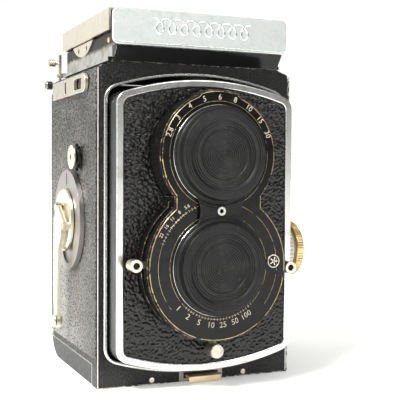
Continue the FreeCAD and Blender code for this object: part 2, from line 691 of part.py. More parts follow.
def make_lenses():
    for z, label in ((d.viewing_z, "viewing"), (d.taking_z, "taking")):
        rear = board_front + 6
        nose = face_front - d.barrel_front
        profile = [(d.barrel_bore, nose), (d.barrel_radius, nose), (d.barrel_radius, face_front - d.bezel_thick),
                   (d.bezel_radius, face_front - d.bezel_thick), (d.bezel_radius, face_front),
                   (d.barrel_radius, face_front), (d.barrel_radius, rear), (d.barrel_bore, rear)]
        keep(turned("y", 0, z, profile), "%s_lens_barrel" % label)
        glass_front = nose + 1.2
        disc = rod("y", 0, z, d.barrel_bore, glass_front, glass_front + 4)
        ball = doc.addObject("Part::Sphere", "ball")
        bind(ball, "Radius", 32)
        locate(ball, 0, glass_front + 32, z)
        keep(common(disc, ball), "%s_lens" % label)
    blades = []
    for number in range(5):
        blades.append(sector(0, d.barrel_bore, number * 72, 70, board_front - 1, 0.4))
    keep(group(*blades), "shutter_blades")
    leaves = []
    for number in range(10):
        leaves.append(sector(5.5, d.barrel_bore, number * 36, 35, board_front + 1, 0.4))
    keep(group(*leaves), "iris_blades")


def sector(inner, outer, start, sweep, low, thickness):
    """A thin leaf of a shutter or iris round the taking axis."""
    leaf = doc.addObject("Part::Cylinder", "leaf")
    turn = TURN_TO["y"].multiply(Rotation(Vector(0, 0, 1), start))
    leaf.Placement = Placement(Vector(), turn)
    bind(leaf, "Radius", outer)
    bind(leaf, "Height", thickness)
    leaf.Angle = sweep
    locate(leaf, 0, low, d.taking_z)
    if inner:
        return cut(leaf, rod("y", 0, d.taking_z, inner, low - 1, low + 2))
    return leaf


def make_levers():
    arm_low = housing_front + 4.1
    arm_high = arm_low + 1.4
    head_low, head_high = housing_front + 1.1, housing_front + 6.3
    for sign, z_shift, label in ((-1, 1.1, "speed_lever"), (1, -1.7, "aperture_lever")):
        z = d.taking_z + z_shift
        reach = d.lever_reach
        root, tip = d.groove_radius + 0.6, reach
        x = (-tip, -root) if sign < 0 else (root, tip)
        arm = box(x, (arm_low, arm_high), (z - 1.2, z + 1.2))
        head = rod("y", sign * reach, z, d.lever_head, head_low, head_high)
        hole = rod("y", sign * reach, z, 1.15, head_low - 1, head_low + 3.2)
        keep(cut(fuse(arm, head), hole), label)
    knob_z = d.taking_z - d.lever_reach - 0.3
    arm = box((-1.2, 1.2), (arm_low, arm_high), (knob_z, d.taking_z - d.groove_radius - 0.6))
    knob = rod("y", 0, knob_z, d.lever_head + 0.2, housing_front + 0.1, housing_front + 6.4)
    keep(fuse(arm, knob), "release_lever")


def make_caps():
    foot = face_front - d.bezel_thick - 0.1
    crown = foot - d.cap_height
    bore = d.barrel_radius + d.running_gap
    well = face_front - d.barrel_front - d.free_gap
    for z, label in ((d.viewing_z, "cap_viewing"), (d.taking_z, "cap_taking")):
        profile = [(0, crown + 0.75), (8.6, crown + 0.75), (8.8, crown + 0.45), (9.6, crown + 0.45),
                   (9.8, crown + 0.75), (12.2, crown + 0.75), (12.5, crown + 0.2),
                   (13.4, crown), (d.cap_crown - 0.4, crown), (d.cap_crown, crown + 0.4),
                   (d.cap_crown + 0.5, foot - 1.4), (d.cap_foot, foot - 0.9), (d.cap_foot, foot),
                   (bore, foot), (bore, well), (0, well)]
        keep(turned("y", 0, z, profile), label)
    middle = (d.viewing_z + d.taking_z) / 2
    half_gap = (d.viewing_z - d.taking_z) / 2
    strap = box((-12, 12), (foot - 1.1, foot - 0.3), (middle - half_gap + 10, middle + half_gap - 10))
    trims = [rod("y", 0, z, d.cap_foot, foot - 3, foot + 1) for z in (d.viewing_z, d.taking_z)]
    for sign in (-1, 1):
        trims.append(rod("y", sign * 17.0, middle, 9.3, foot - 3, foot + 1))
    trims.append(rod("y", 0, middle, 1.0, foot - 3, foot + 1))
    keep(cut(strap, *trims), "cap_bridge")
    profile = [(0.7, foot - 1.5), (1.6, foot - 1.5), (1.6, foot - 1.1), (1.0, foot - 1.1),
               (1.0, foot - 0.3), (0.7, foot - 0.3)]
    keep(turned("y", 0, middle, profile), "cap_eyelet")


# ---------------------------------------------------------------- crank side
def make_crank():
    face = skin + d.crank_plate_thick
    disc = rod("x", 0, d.crank_z, d.crank_plate_radius, -face, -skin)
    bore = rod("x", 0, d.crank_z, d.shaft_radius + 0.5, -face - 1, -skin + 1)
    mark = box((-face - 1, -face + 0.8), (-0.6, 0.6), (d.crank_z + 13.4, d.crank_z + 18))
    scoop = rod("x", -1, d.crank_z - 8.4, 8.2, -face - 1, -face + 0.9)
    keep(cut(disc, bore, mark, scoop), "crank_plate")
    hub_in = -face - d.free_gap
    hub_out = hub_in - d.crank_hub_thick
    pin_x = hub_out - 1.7
    hub = turned("x", 0, d.crank_z, [(0, hub_out), (d.crank_hub_radius - 0.8, hub_out),
                                     (d.crank_hub_radius, hub_out + 0.6), (d.crank_hub_radius, hub_in),
                                     (d.shaft_radius, hub_in), (d.shaft_radius, -28), (0, -28)])
    ears = [slanted(pin_x, 2.3, 0.8, low, high, shoe=True) for low, high in ((-7.9, -6.7), (5.0, 6.3))]
    bore = slanted(pin_x, 0.8, 0, -9, 9)
    keep(cut(fuse(hub, *ears), bore), "crank_hub")
    keep(slanted(pin_x, 0.8, 0, -7.9, 6.3), "crank_hinge_pin")
    arm_x = (pin_x - d.arm_thick / 2, pin_x + d.arm_thick / 2)
    grip_z = d.crank_z - d.arm_length
    barrel = slanted(pin_x, 1.35, 0, -6.4, 4.7)
    wide, narrow = d.arm_half + 1.0, d.arm_half
    points = [(-1.5, d.crank_z + 4.5), (-0.5, d.crank_z + 3.0), (wide - 0.4, d.crank_z + 0.6),
              (wide, d.crank_z - 14), (wide, d.crank_z - 30),
              (narrow, grip_z), (-narrow, grip_z), (-narrow, d.crank_z - 24), (-wide - 0.6, d.crank_z - 10.4),
              (-8.4, d.crank_z - 5.0), (-8.2, d.crank_z - 2.0), (-9.2, d.crank_z - 0.5)]
    bar = plate("YZ_Plane", points, *arm_x)
    tip = rod("x", 0, grip_z, d.arm_half + 0.2, *arm_x)
    holes = [slanted(pin_x, 0.8 + d.running_gap, 0, -9, 9),
             rod("x", 0, grip_z, 1.2 + d.running_gap, pin_x - 3, pin_x + 3)]
    keep(cut(fuse(barrel, bar, tip), *holes), "crank_arm")
    gap = d.free_gap
    inner, outer = arm_x[1] + gap, arm_x[0] - gap
    grip = [(0, outer - 0.9), (2.1, outer - 0.9), (2.5, outer - 0.5), (2.5, outer), (1.2, outer),
            (1.2, inner), (1.9, inner), (1.9, inner + 0.7), (0, inner + 0.7)]
    keep(turned("x", 0, grip_z, grip), "crank_handle")


def slanted(x, radius, shift, low, high, shoe=False):
    """A rod, or a square shoe, along the crank's slanting hinge line."""
    centre = Vector(as_size(x).value, -5.4, d.crank_z.value + 2.2)
    turn = Rotation(Vector(1, 0, 0), d.crank_hinge_slant.value)
    start = centre + turn.multVec(Vector(0, as_size(low).value, 0))
    if shoe:
        piece = doc.addObject("Part::Box", "shoe")
        bind(piece, "Length", as_size(radius) + 0.6)
        bind(piece, "Width", as_size(high) - low)
        bind(piece, "Height", 2.8)
        corner = turn.multVec(Vector(0, 0, -1.4))
        start = start + corner + Vector(-shift - 0.3, 0, 0)
        piece.Placement = Placement(start, turn)
        return piece
    bar = doc.addObject("Part::Cylinder", "rod")
    bind(bar, "Radius", radius)
    bind(bar, "Height", as_size(high) - low)
    bar.Placement = Placement(start, turn.multiply(TURN_TO["y"]))
    return bar


def make_counter_knob():
    stem = 1.6
    radius = d.counter_radius
    outer = skin + 3.5
    profile = [(1.1, -outer), (radius - 0.4, -outer), (radius, -outer + 0.3), (radius, -outer + 1),
               (2.2, -outer + 1.2), (2.2, -skin - 1.6), (radius - 0.4, -skin - 1.6),
               (radius - 0.4, -skin - 0.5), (stem, -skin - 0.5), (stem, -34), (0, -34),
               (0, -outer + 1.4), (1.1, -outer + 1.4)]
    keep(turned("x", -d.counter_y, d.counter_z, profile), "counter_knob")


# ---------------------------------------------------------------- focusing side
def make_focus_knob():
    radius = d.focus_radius
    out = d.focus_out
    knob = [(0, out - 0.9), (radius - 3.2, out - 0.9), (radius - 2.6, out), (radius - 0.7, out),
            (radius, out - 0.7), (radius, out - 3.3), (radius - 0.6, out - 3.9), (5.5, out - 3.9),
            (5.5, skin + 0.5), (d.focus_shaft, skin + 0.5), (d.focus_shaft, 28), (0, 28)]
    keep(turned("x", -d.focus_y, d.focus_z, knob), "focus_knob")
    drum = [(5.5, skin + 0.5), (d.scale_radius, skin + 0.5), (d.scale_radius, out - 4.6),
            (d.scale_radius - 0.6, out - 3.9), (5.5, out - 3.9)]
    keep(turned("x", -d.focus_y, d.focus_z, drum), "distance_scale")


def make_spool_knobs():
    pin = d.spool_pin
    for y, z, label in ((-d.supply_y, d.supply_z, "supply_spool_knob"),
                        (d.takeup_y, d.takeup_z, "takeup_spool_knob")):
        profile = [(0, skin + 5.5), (5.4, skin + 5.5), (6.2, skin + 4.9), (6.2, skin + 3.4),
                   (4.2, skin + 2.6), (4.2, skin + 1.4), (6.2, skin + 1.2), (6.2, skin + 0.4),
                   (pin, skin + 0.4), (pin, 27.2), (0, 27.2)]
        keep(turned("x", y, z, profile), label)


# ---------------------------------------------------------------- film path
def make_film_path():
    bore = d.spool_pin + d.running_gap
    half, flange, core = d.spool_half, d.flange_radius, d.core_radius
    spots = ((-d.supply_y, d.supply_z, "supply_spool"), (d.takeup_y, d.takeup_z, "takeup_spool"))
    pins = []
    for y, z, label in spots:
        profile = [(bore, -half), (flange, -half), (flange, -half + 1), (core, -half + 1),
                   (core, half - 1), (flange, half - 1), (flange, half), (bore, half)]
        keep(turned("x", y, z, profile), label)
        pins.append(rod("x", y, z, d.spool_pin, d.body_wall - side, -27.2))
    keep(group(*pins), "spool_pins")
    tip, shoulder = side - 0.8, side - 5.0
    profile = [(0, -tip), (1.5, -tip), (1.5, -shoulder), (2.6, -shoulder), (2.6, shoulder), (1.5, shoulder),
               (1.5, tip), (0, tip)]
    keep(turned("x", 25.5, 11.2, profile), "film_roller")


# ---------------------------------------------------------------- back
def make_back():
    tray_front = front + d.nose_depth + d.free_gap
    plate_front = back - d.back_thick
    inner = side - d.body_wall
    outer = box((-side, side), (tray_front, back), (0, d.back_top))
    outer = rounded(outer, d.back_corner, lambda edge: runs_along("x")(edge)
                    and edge.CenterOfMass.y > 0 and edge.CenterOfMass.z < 1)
    hollow = box((-inner, inner), (tray_front - 1, plate_front), (d.tray_floor, d.back_top + 1))
    hollow = rounded(hollow, d.back_corner - d.back_thick + 0.6, lambda edge: runs_along("x")(edge)
                     and edge.CenterOfMass.y > 0 and edge.CenterOfMass.z < d.tray_floor.value + 1)
    above = box((-side - 1, side + 1), (tray_front - 1, plate_front), (d.lip_height, d.back_top + 1))
    hinge_y = back - d.back_hinge_inset
    barrel = rod("x", hinge_y, d.back_hinge_z, d.knuckle_radius, -24.1, 24.1)
    web = box((-24.1, 24.1), (hinge_y - 0.8, back), (d.back_top - 0.5, d.back_hinge_z))
    bore = rod("x", hinge_y, d.back_hinge_z, d.hinge_pin_radius + d.running_gap, -side, side)
    bush = rod("z", 0, 0, d.socket_radius, -1, d.tray_floor + 1)
    keep(cut(fuse(cut(outer, hollow, above), barrel, web), bore, bush), "back_door")
    pin = rod("x", hinge_y, d.back_hinge_z, d.hinge_pin_radius, -side, side)
    heads = [rod("x", hinge_y, d.back_hinge_z, d.hinge_head_radius, *sorted_pair(sign * side, sign * (side + 2.6)))
             for sign in (-1, 1)]
    keep(fuse(pin, *heads), "back_hinge_pin")
    keep(box((-side + 3, side - 3), (back, back + d.leather_thick), (d.back_corner + 2, d.back_top - 3)),
         "back_leather")
    ring = rod("z", 0, 0, d.socket_radius, 0, d.tray_floor)
    collar = rod("z", 0, 0, d.socket_radius - 1.5, 0, d.socket_height)
    thread = rod("z", 0, 0, d.socket_bore, -1, d.socket_height + 1)
    keep(cut(fuse(ring, collar), thread), "tripod_socket")
    gate_back = d.gate_y + d.gate_thick
    pad = box((-30, 30), (gate_back + 1, gate_back + 2.4), (16.4, 73.8))
    studs = [rod("y", 0, z, 1.5, gate_back + 2, gate_back + 4.2) for z in (30, 58)]
    keep(fuse(pad, *studs), "pressure_plate")


def make_latch():
    tongue = box((-5, 8), (front - 5, front + d.nose_depth - 0.3), (1.7, 2.9))
    lip = box((-5, 8), (front - 5, front - 4), (0.4, 2.9))
    keep(fuse(tongue, lip), "latch_tongue")


make_body_shell()
make_front_trim()
make_side_leathers()
make_strap_lugs()
make_chamber()
make_mirror()
make_hood_base()
make_lid()
make_flaps()
make_magnifier()
make_hood_catch()
make_lens_board()
make_lens_housing()
make_lenses()
make_levers()
make_caps()
make_crank()
make_counter_knob()
make_focus_knob()
make_spool_knobs()
make_film_path()
make_back()
make_latch()

doc.recompute()
for item in doc.Objects:
    if "Invalid" in item.State or "Error" in item.State:
        raise RuntimeError("%s (%s) failed" % (item.Name, item.Label))
os.makedirs("parts", exist_ok=True)
for piece in parts:
    shape = piece.Shape
    if shape.isNull() or not shape.isValid() or not shape.Solids:
        raise RuntimeError("%s has no valid solid" % piece.Label)
    shape.exportStep(os.path.join("parts", piece.Label + ".step"))
    print("%-24s solids %2d  volume %9.1f" % (piece.Label, len(shape.Solids), shape.Volume))
print(len(parts), "sub-parts")
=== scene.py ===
import math

import bmesh
import bpy
from mathutils import Euler, Matrix, Vector, noise


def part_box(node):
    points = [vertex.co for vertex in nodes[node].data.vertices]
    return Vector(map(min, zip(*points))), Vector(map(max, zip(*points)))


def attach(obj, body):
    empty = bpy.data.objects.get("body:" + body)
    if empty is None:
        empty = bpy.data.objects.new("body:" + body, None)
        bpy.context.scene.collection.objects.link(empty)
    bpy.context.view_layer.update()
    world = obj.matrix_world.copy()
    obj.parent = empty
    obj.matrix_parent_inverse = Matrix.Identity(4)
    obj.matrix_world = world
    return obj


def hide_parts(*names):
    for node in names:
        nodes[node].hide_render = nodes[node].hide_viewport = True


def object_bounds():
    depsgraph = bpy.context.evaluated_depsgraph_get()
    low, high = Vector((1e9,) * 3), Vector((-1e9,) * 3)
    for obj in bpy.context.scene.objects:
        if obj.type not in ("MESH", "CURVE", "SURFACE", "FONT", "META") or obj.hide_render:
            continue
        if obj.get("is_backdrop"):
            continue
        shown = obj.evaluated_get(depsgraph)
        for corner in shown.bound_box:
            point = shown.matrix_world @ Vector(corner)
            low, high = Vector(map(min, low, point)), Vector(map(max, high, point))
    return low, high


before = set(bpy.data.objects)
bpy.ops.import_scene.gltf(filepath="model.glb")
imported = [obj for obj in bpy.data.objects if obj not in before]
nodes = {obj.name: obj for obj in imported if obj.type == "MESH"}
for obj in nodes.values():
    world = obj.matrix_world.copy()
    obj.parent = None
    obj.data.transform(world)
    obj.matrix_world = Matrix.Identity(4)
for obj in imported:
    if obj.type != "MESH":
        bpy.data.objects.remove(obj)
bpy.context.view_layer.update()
MM = 0.001


# ================================================================ camera, floor and light
# The camera stands a little to the left of the lenses, just above the middle of the body.
# A pale table runs out to white behind it; soft light comes from the left and from above.
def link_object(name, data):
    item = bpy.data.objects.new(name, data)
    bpy.context.scene.collection.objects.link(item)
    return item


view = bpy.data.cameras.new("view")
view.lens = 76.98
view.sensor_width = 36.0
view.clip_start = 0.01
viewer = link_object("viewer", view)
viewer.location = (-123.93 * MM, -323.28 * MM, 77.59 * MM)
viewer.rotation_euler = Euler([math.radians(angle) for angle in (88.038, -0.316, -23.353)])
bpy.context.scene.camera = viewer


def add(tree, kind, inputs=None, **settings):
    """A node with its settings and its inputs, each a value or another node's output."""
    item = tree.nodes.new(kind)
    for key, value in settings.items():
        setattr(item, key, value)
    for key, value in (inputs or {}).items():
        if isinstance(value, bpy.types.NodeSocket):
            tree.links.new(value, item.inputs[key])
        else:
            item.inputs[key].default_value = value
    return item


def new_shader(name):
    material = bpy.data.materials.new(name)
    material.use_nodes = True
    return material, material.node_tree, material.node_tree.nodes["Principled BSDF"]


floor_mesh = bpy.data.meshes.new("table_top")
reach = 6.0
floor_mesh.from_pydata([(-reach, -reach, 0), (reach, -reach, 0), (reach, reach, 0), (-reach, reach, 0)],
                       [], [(0, 1, 2, 3)])
table_top = link_object("table_top", floor_mesh)
pale, tree, shade = new_shader("pale table")
shade.inputs["Base Color"].default_value = (0.93, 0.93, 0.92, 1)
shade.inputs["Roughness"].default_value = 0.8
shade.inputs["Emission Color"].default_value = (1.0, 1.0, 0.98, 1)
spot = add(tree, "ShaderNodeTexCoord").outputs["Object"]
away = add(tree, "ShaderNodeVectorMath", {0: spot}, operation="LENGTH").outputs["Value"]
fade = add(tree, "ShaderNodeMapRange", {"Value": away, "From Min": 0.15, "From Max": 0.9, "To Min": 0.32,
                                        "To Max": 0.9}, clamp=True)
tree.links.new(fade.outputs[0], shade.inputs["Emission Strength"])
floor_mesh.materials.append(pale)
table_top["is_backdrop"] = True

world = bpy.data.worlds.new("studio")
bpy.context.scene.world = world
world.use_nodes = True
sky = world.node_tree.nodes["Background"]
seen = add(world.node_tree, "ShaderNodeLightPath").outputs["Is Camera Ray"]
toward = add(world.node_tree, "ShaderNodeTexCoord").outputs["Generated"]
glow = add(world.node_tree, "ShaderNodeVectorMath", {0: toward, 1: Vector((-0.62, 0.62, 0.48))},
           operation="DOT_PRODUCT").outputs["Value"]
lit = add(world.node_tree, "ShaderNodeMapRange", {"Value": glow, "From Min": -0.6, "From Max": 0.9,
                                                  "To Min": 0.16, "To Max": 0.95}, clamp=True)
strength = add(world.node_tree, "ShaderNodeMix", {0: seen, 2: lit.outputs[0], 3: 1.05})
world.node_tree.links.new(strength.outputs[0], sky.inputs["Strength"])
sky.inputs["Color"].default_value = (1.0, 1.0, 0.985, 1)
bpy.context.scene.view_settings.view_transform = "Standard"
bpy.context.scene.view_settings.gamma = 0.88


def soft_light(name, place, target, size, power):
    lamp = bpy.data.lights.new(name, "AREA")
    lamp.shape = "RECTANGLE"
    lamp.size, lamp.size_y = size
    lamp.energy = power
    item = link_object(name, lamp)
    item.location = place
    aim = Vector(target) - Vector(place)
    item.rotation_euler = aim.to_track_quat("-Z", "Y").to_euler()


middle = (0, 0, 0.07)
soft_light("left window", (-0.60, 0.60, 0.55), middle, (0.4, 0.4), 1.2)
soft_light("top box", (-0.42, -0.28, 0.62), middle, (0.16, 0.16), 5.6)
soft_light("front strip", (0.25, -0.55, 0.60), middle, (0.25, 0.25), 1.3)


# ================================================================ cast body
# The body is a light alloy casting under black crinkle lacquer, with sloped shoulders.
# Years of use have rubbed the lacquer off its edges, so the bare metal shows there.
def maths(tree, operation, a, b=0.0):
    return add(tree, "ShaderNodeMath", {0: a, 1: b}, operation=operation).outputs[0]


def fit(tree, value, low, high, to_low=0.0, to_high=1.0):
    inputs = {"Value": value, "From Min": low, "From Max": high, "To Min": to_low, "To Max": to_high}
    return add(tree, "ShaderNodeMapRange", inputs, clamp=True).outputs[0]


def mix_colour(tree, factor, a, b):
    return add(tree, "ShaderNodeMix", {0: factor, 6: a, 7: b}, data_type="RGBA").outputs[2]


def coordinates(tree):
    """X, Y and Z on the camera, in metres."""
    return add(tree, "ShaderNodeSeparateXYZ", {0: add(tree, "ShaderNodeTexCoord").outputs["Object"]}).outputs


def grain(tree, size_mm, detail=3.0, roughness=0.55, stretch=(1, 1, 1), turn=(0, 0, 0)):
    """Even noise whose lumps are about size_mm across, before they are turned and stretched."""
    place = add(tree, "ShaderNodeMapping", {"Vector": add(tree, "ShaderNodeTexCoord").outputs["Object"],
                                            "Scale": stretch, "Rotation": turn})
    return add(tree, "ShaderNodeTexNoise", {"Vector": place.outputs[0], "Scale": 1.0 / (size_mm * MM),
                                            "Detail": detail, "Roughness": roughness}).outputs["Fac"]


def bump(tree, shade, height, depth_mm):
    inputs = {"Height": height, "Distance": depth_mm * MM, "Strength": 1.0}
    tree.links.new(add(tree, "ShaderNodeBump", inputs).outputs[0], shade.inputs["Normal"])


def edges(tree, width_mm):
    """One along sharp edges, falling to nothing a little way in."""
    turned = add(tree, "ShaderNodeBevel", {"Radius": width_mm * MM}, samples=6).outputs[0]
    flat = add(tree, "ShaderNodeNewGeometry").outputs["Normal"]
    facing = add(tree, "ShaderNodeVectorMath", {0: turned, 1: flat}, operation="DOT_PRODUCT").outputs["Value"]
    return fit(tree, facing, 0.995, 0.86)


def black_coat(name, crinkle_mm, depth_mm, roughness, wear_mm, metal=(0.80, 0.77, 0.70), wear=0.5):
    """Black paint on metal, worn through along the edges."""
    material, tree, shade = new_shader(name)
    patches = fit(tree, grain(tree, 2.6, 5.0, 0.7), 0.62 - wear * 0.3, 0.70 - wear * 0.3)
    fine = fit(tree, grain(tree, 0.5, 4.0, 0.7), 0.35, 0.6)
    worn = maths(tree, "MULTIPLY", edges(tree, wear_mm), maths(tree, "MULTIPLY", patches, fine))
    chips = fit(tree, grain(tree, 0.9, 6.0, 0.75), 0.735, 0.755)
    worn = maths(tree, "MAXIMUM", worn, maths(tree, "MULTIPLY", chips, wear))
    tone = mix_colour(tree, grain(tree, 8.0), (0.005, 0.005, 0.005, 1), (0.014, 0.013, 0.012, 1))
    colour = mix_colour(tree, worn, tone, (*metal, 1))
    tree.links.new(colour, shade.inputs["Base Color"])
    tree.links.new(worn, shade.inputs["Metallic"])
    rough = fit(tree, grain(tree, 3.0), 0.3, 0.7, roughness - 0.05, roughness + 0.12)
    tree.links.new(rough, shade.inputs["Roughness"])
    shade.inputs["Specular IOR Level"].default_value = 0.4
    if crinkle_mm:
        bump(tree, shade, grain(tree, crinkle_mm, 3.0, 0.6), depth_mm)
    return material


def welded(node):
    """A CAD piece's mesh with its faces joined and the seams inside its flats removed."""
    mesh = nodes[node].data.copy()
    mesh.materials.clear()
    shape = bmesh.new()
    shape.from_mesh(mesh)
    bmesh.ops.remove_doubles(shape, verts=shape.verts, dist=0.002 * MM)
    bmesh.ops.dissolve_limit(shape, angle_limit=math.radians(0.8), verts=shape.verts, edges=shape.edges)
    for face in shape.faces:
        face.material_index = 0
    shape.to_mesh(mesh)
    shape.free()
    return mesh


def softened(node, body, width_mm, material, edge=None, segments=2, angle=34):
    """A copy of a CAD piece with its sharp edges broken, which stands for it."""
    mesh = welded(node)
    for finish in (material, edge or material):
        mesh.materials.append(finish)
    piece = link_object(node + "_finished", mesh)
    soften = piece.modifiers.new("broken edge", "BEVEL")
    soften.width = width_mm * MM
    soften.segments = segments
    soften.limit_method = "ANGLE"
    soften.angle_limit = math.radians(angle)
    soften.material = 1
    mesh.shade_smooth()
    mesh.set_sharp_from_angle(angle=math.radians(angle + 6))
    even = piece.modifiers.new("even normals", "WEIGHTED_NORMAL")
    even.keep_sharp = True
    settle(piece)
    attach(piece, body)
    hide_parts(node)


def plain_mesh(piece):
    """What a curve or a mesh with modifiers comes to, as a mesh of its own."""
    bpy.context.view_layer.update()
    graph = bpy.context.evaluated_depsgraph_get()
    return bpy.data.meshes.new_from_object(piece.evaluated_get(graph))


def settle(piece):
    """Turns a piece's modifiers into plain mesh."""
    final = plain_mesh(piece)
    piece.modifiers.clear()
    piece.data = final


def rubbed_edge(name, metal, paint, bare_share):
    """Bare metal where an edge is rubbed, with scraps of paint left; the left front corner is worst."""
    material, tree, shade = new_shader(name)
    corner = fit(tree, coordinates(tree)["X"], -36.5 * MM, -37.8 * MM, 0.0, 0.16)
    patches = maths(tree, "ADD", grain(tree, 2.2, 6.0, 0.7), corner)
    bare = fit(tree, patches, 0.60 - 0.2 * bare_share, 0.63 - 0.2 * bare_share)
    stain = mix_colour(tree, grain(tree, 1.4, 4.0), (*metal, 1), tuple(0.6 * c for c in metal) + (1,))
    tree.links.new(mix_colour(tree, bare, (*paint, 1), stain), shade.inputs["Base Color"])
    tree.links.new(maths(tree, "MULTIPLY", bare, 0.6), shade.inputs["Metallic"])
    tree.links.new(fit(tree, bare, 0.0, 1.0, 0.4, 0.34), shade.inputs["Roughness"])
    return material


def coat(node, material):
    """Gives a CAD piece that stays as it is a finish."""
    nodes[node].data.materials.clear()
    nodes[node].data.materials.append(material)


crinkle = black_coat("crinkle lacquer", 0.85, 0.75, 0.26, 0.55, wear=0.5)
tree = crinkle.node_tree
shade = tree.nodes["Principled BSDF"]
painted = shade.inputs["Base Color"].links[0].from_socket
# Painted reflection: towards the foot the lacquer is lightened to stand for the pale table mirrored in it.
low_painted_sheen = fit(tree, coordinates(tree)["Z"], 12 * MM, 4 * MM)
tree.links.new(mix_colour(tree, maths(tree, "MULTIPLY", low_painted_sheen, 0.8), painted, (0.055, 0.057, 0.054, 1)),
               shade.inputs["Base Color"])
rubbed = rubbed_edge("rubbed edge", (0.86, 0.84, 0.76), (0.02, 0.02, 0.018), 0.6)
rubbed_brass = rubbed_edge("rubbed brass edge", (0.62, 0.50, 0.32), (0.02, 0.018, 0.015), 0.35)
softened("body_shell", "camera_body", 0.40, crinkle, rubbed)
matt_black = black_coat("matt black", 0.3, 0.02, 0.62, 0.2, wear=0.0)
for name in ("film_chamber", "mirror_cradle", "screen_frame"):
    coat(name, matt_black)


# ================================================================ leather coverings
# Panels of black leather are glued into the flats of the body, the back and the lens board.
# The grain is pressed into them: coarse and shiny in front, fine and dusty on the sides.
def leather(name, tone, dust, roughness, pore_mm, painted_sheen_amount=0.0):
    """Black leather; the last argument says how strongly a painted sheen greys its lower rear."""
    material, tree, shade = new_shader(name)
    clouds = grain(tree, 14.0, 5.0, 0.6)
    specks = fit(tree, grain(tree, 0.8, 2.0, 0.6), 0.46, 0.58)
    mottled = maths(tree, "MULTIPLY", fit(tree, clouds, 0.35, 0.65, 0.45, 1.0), specks)
    colour = mix_colour(tree, mottled, (*tone, 1), (*dust, 1))
    # Painted sheen: the lower rear is greyed to stand for the bright grazing reflection of the light there.
    if painted_sheen_amount:
        spot = coordinates(tree)
        low_painted_sheen = fit(tree, spot["Z"], 95 * MM, 25 * MM)
        behind = fit(tree, spot["Y"], -36 * MM, 10 * MM)
        share = maths(tree, "MULTIPLY", maths(tree, "MULTIPLY", low_painted_sheen, behind),
                      fit(tree, grain(tree, 0.8, 2.0, 0.6), 0.40, 0.54, 0.25, 1.0))
        colour = mix_colour(tree, maths(tree, "MULTIPLY", share, painted_sheen_amount), colour, (0.46, 0.45, 0.41, 1))
    tree.links.new(colour, shade.inputs["Base Color"])
    rough = fit(tree, grain(tree, 0.8, 3.0), 0.3, 0.7, roughness - 0.08, roughness + 0.14)
    tree.links.new(rough, shade.inputs["Roughness"])
    shade.inputs["Specular IOR Level"].default_value = 0.7
    bump(tree, shade, grain(tree, pore_mm, 4.0, 0.65), 0.05)
    return material


def refined(node, outward, pitch_mm):
    """A copy of a CAD panel whose outer face is cut into a fine grid."""
    outline = welded(node)
    low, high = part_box(node)
    middle_point = (low + high) / 2
    overhang = 1 * MM
    backing_depth = 5 * MM
    skin = 0.01 * MM
    reach_half = (high - low).length / 2 + overhang
    count = int(2 * reach_half / (pitch_mm * MM))
    shape = bmesh.new()
    bmesh.ops.create_grid(shape, x_segments=count, y_segments=count, size=reach_half)
    backing = bmesh.ops.extrude_edge_only(shape, edges=[edge for edge in shape.edges if edge.is_boundary])
    rim = [item for item in backing["geom"] if isinstance(item, bmesh.types.BMVert)]
    bmesh.ops.translate(shape, verts=rim, vec=(0, 0, -backing_depth))
    bmesh.ops.contextual_create(shape, geom=[edge for edge in shape.edges if edge.is_boundary])
    bmesh.ops.recalc_face_normals(shape, faces=shape.faces)
    facing = outward.to_track_quat("Z", "Y").to_matrix().to_4x4()
    face = max(vertex.co.dot(outward) for vertex in outline.vertices) - skin
    start = middle_point + outward * (face - middle_point.dot(outward))
    bmesh.ops.transform(shape, matrix=Matrix.Translation(start) @ facing, verts=shape.verts)
    slab_mesh = bpy.data.meshes.new(node + "_grid")
    shape.to_mesh(slab_mesh)
    shape.free()
    slab = link_object(node + "_grid", slab_mesh)
    panel = link_object(node + "_grained", outline)
    overlap = panel.modifiers.new("grid", "BOOLEAN")
    overlap.operation = "INTERSECT"
    overlap.solver = "MANIFOLD"
    overlap.object = slab
    settle(panel)
    bpy.data.objects.remove(slab)
    return panel, face


def pebbled(node, body, outward, material, pebble_mm, depth_mm, pitch_mm, wrinkle):
    """A leather panel with its pressed grain as real relief."""
    outward = Vector(outward)
    furrow = 0.42
    lump_share = 0.25
    face_slack = 0.02 * MM
    panel, face = refined(node, outward, pitch_mm)
    mesh = panel.data
    for vertex in mesh.vertices:
        if vertex.co.dot(outward) < face - face_slack:
            continue
        spot = vertex.co / (pebble_mm * MM)
        spot = spot + wrinkle * noise.noise_vector(spot * 0.45)
        distances, _ = noise.voronoi(spot)
        hollow = 1.0 - min(1.0, (distances[1] - distances[0]) / furrow)
        swell = 0.5 + 0.5 * noise.noise(spot * 0.8)
        vertex.co -= outward * depth_mm * MM * ((1 - lump_share) * hollow ** 1.5 + lump_share * swell)
    mesh.shade_smooth()
    mesh.set_sharp_from_angle(angle=math.radians(70))
    mesh.materials.clear()
    mesh.materials.append(material)
    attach(panel, body)
    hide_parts(node)


front_leather = leather("front leather", (0.004, 0.004, 0.004), (0.040, 0.037, 0.031), 0.18, 0.35)
# The side panels carry a painted sheen that greys their lower rear.
side_leather = leather("side leather", (0.020, 0.020, 0.018), (0.20, 0.195, 0.18), 0.30, 0.25, 0.85)
pebbled("board_leather", "sliding_front", (0, -1, 0), front_leather, 1.30, 0.55, 0.34, 1.1)
pebbled("leather_crank_side", "camera_body", (-1, 0, 0), side_leather, 1.1, 0.45, 0.45, 0.6)
pebbled("leather_focus_side", "camera_body", (1, 0, 0), side_leather, 1.1, 0.45, 0.45, 0.6)
back_skin = leather("back leather", (0.020, 0.020, 0.018), (0.09, 0.088, 0.08), 0.32, 0.25)
pebbled("back_leather", "back", (0, 1, 0), back_skin, 0.95, 0.28, 0.6, 0.6)


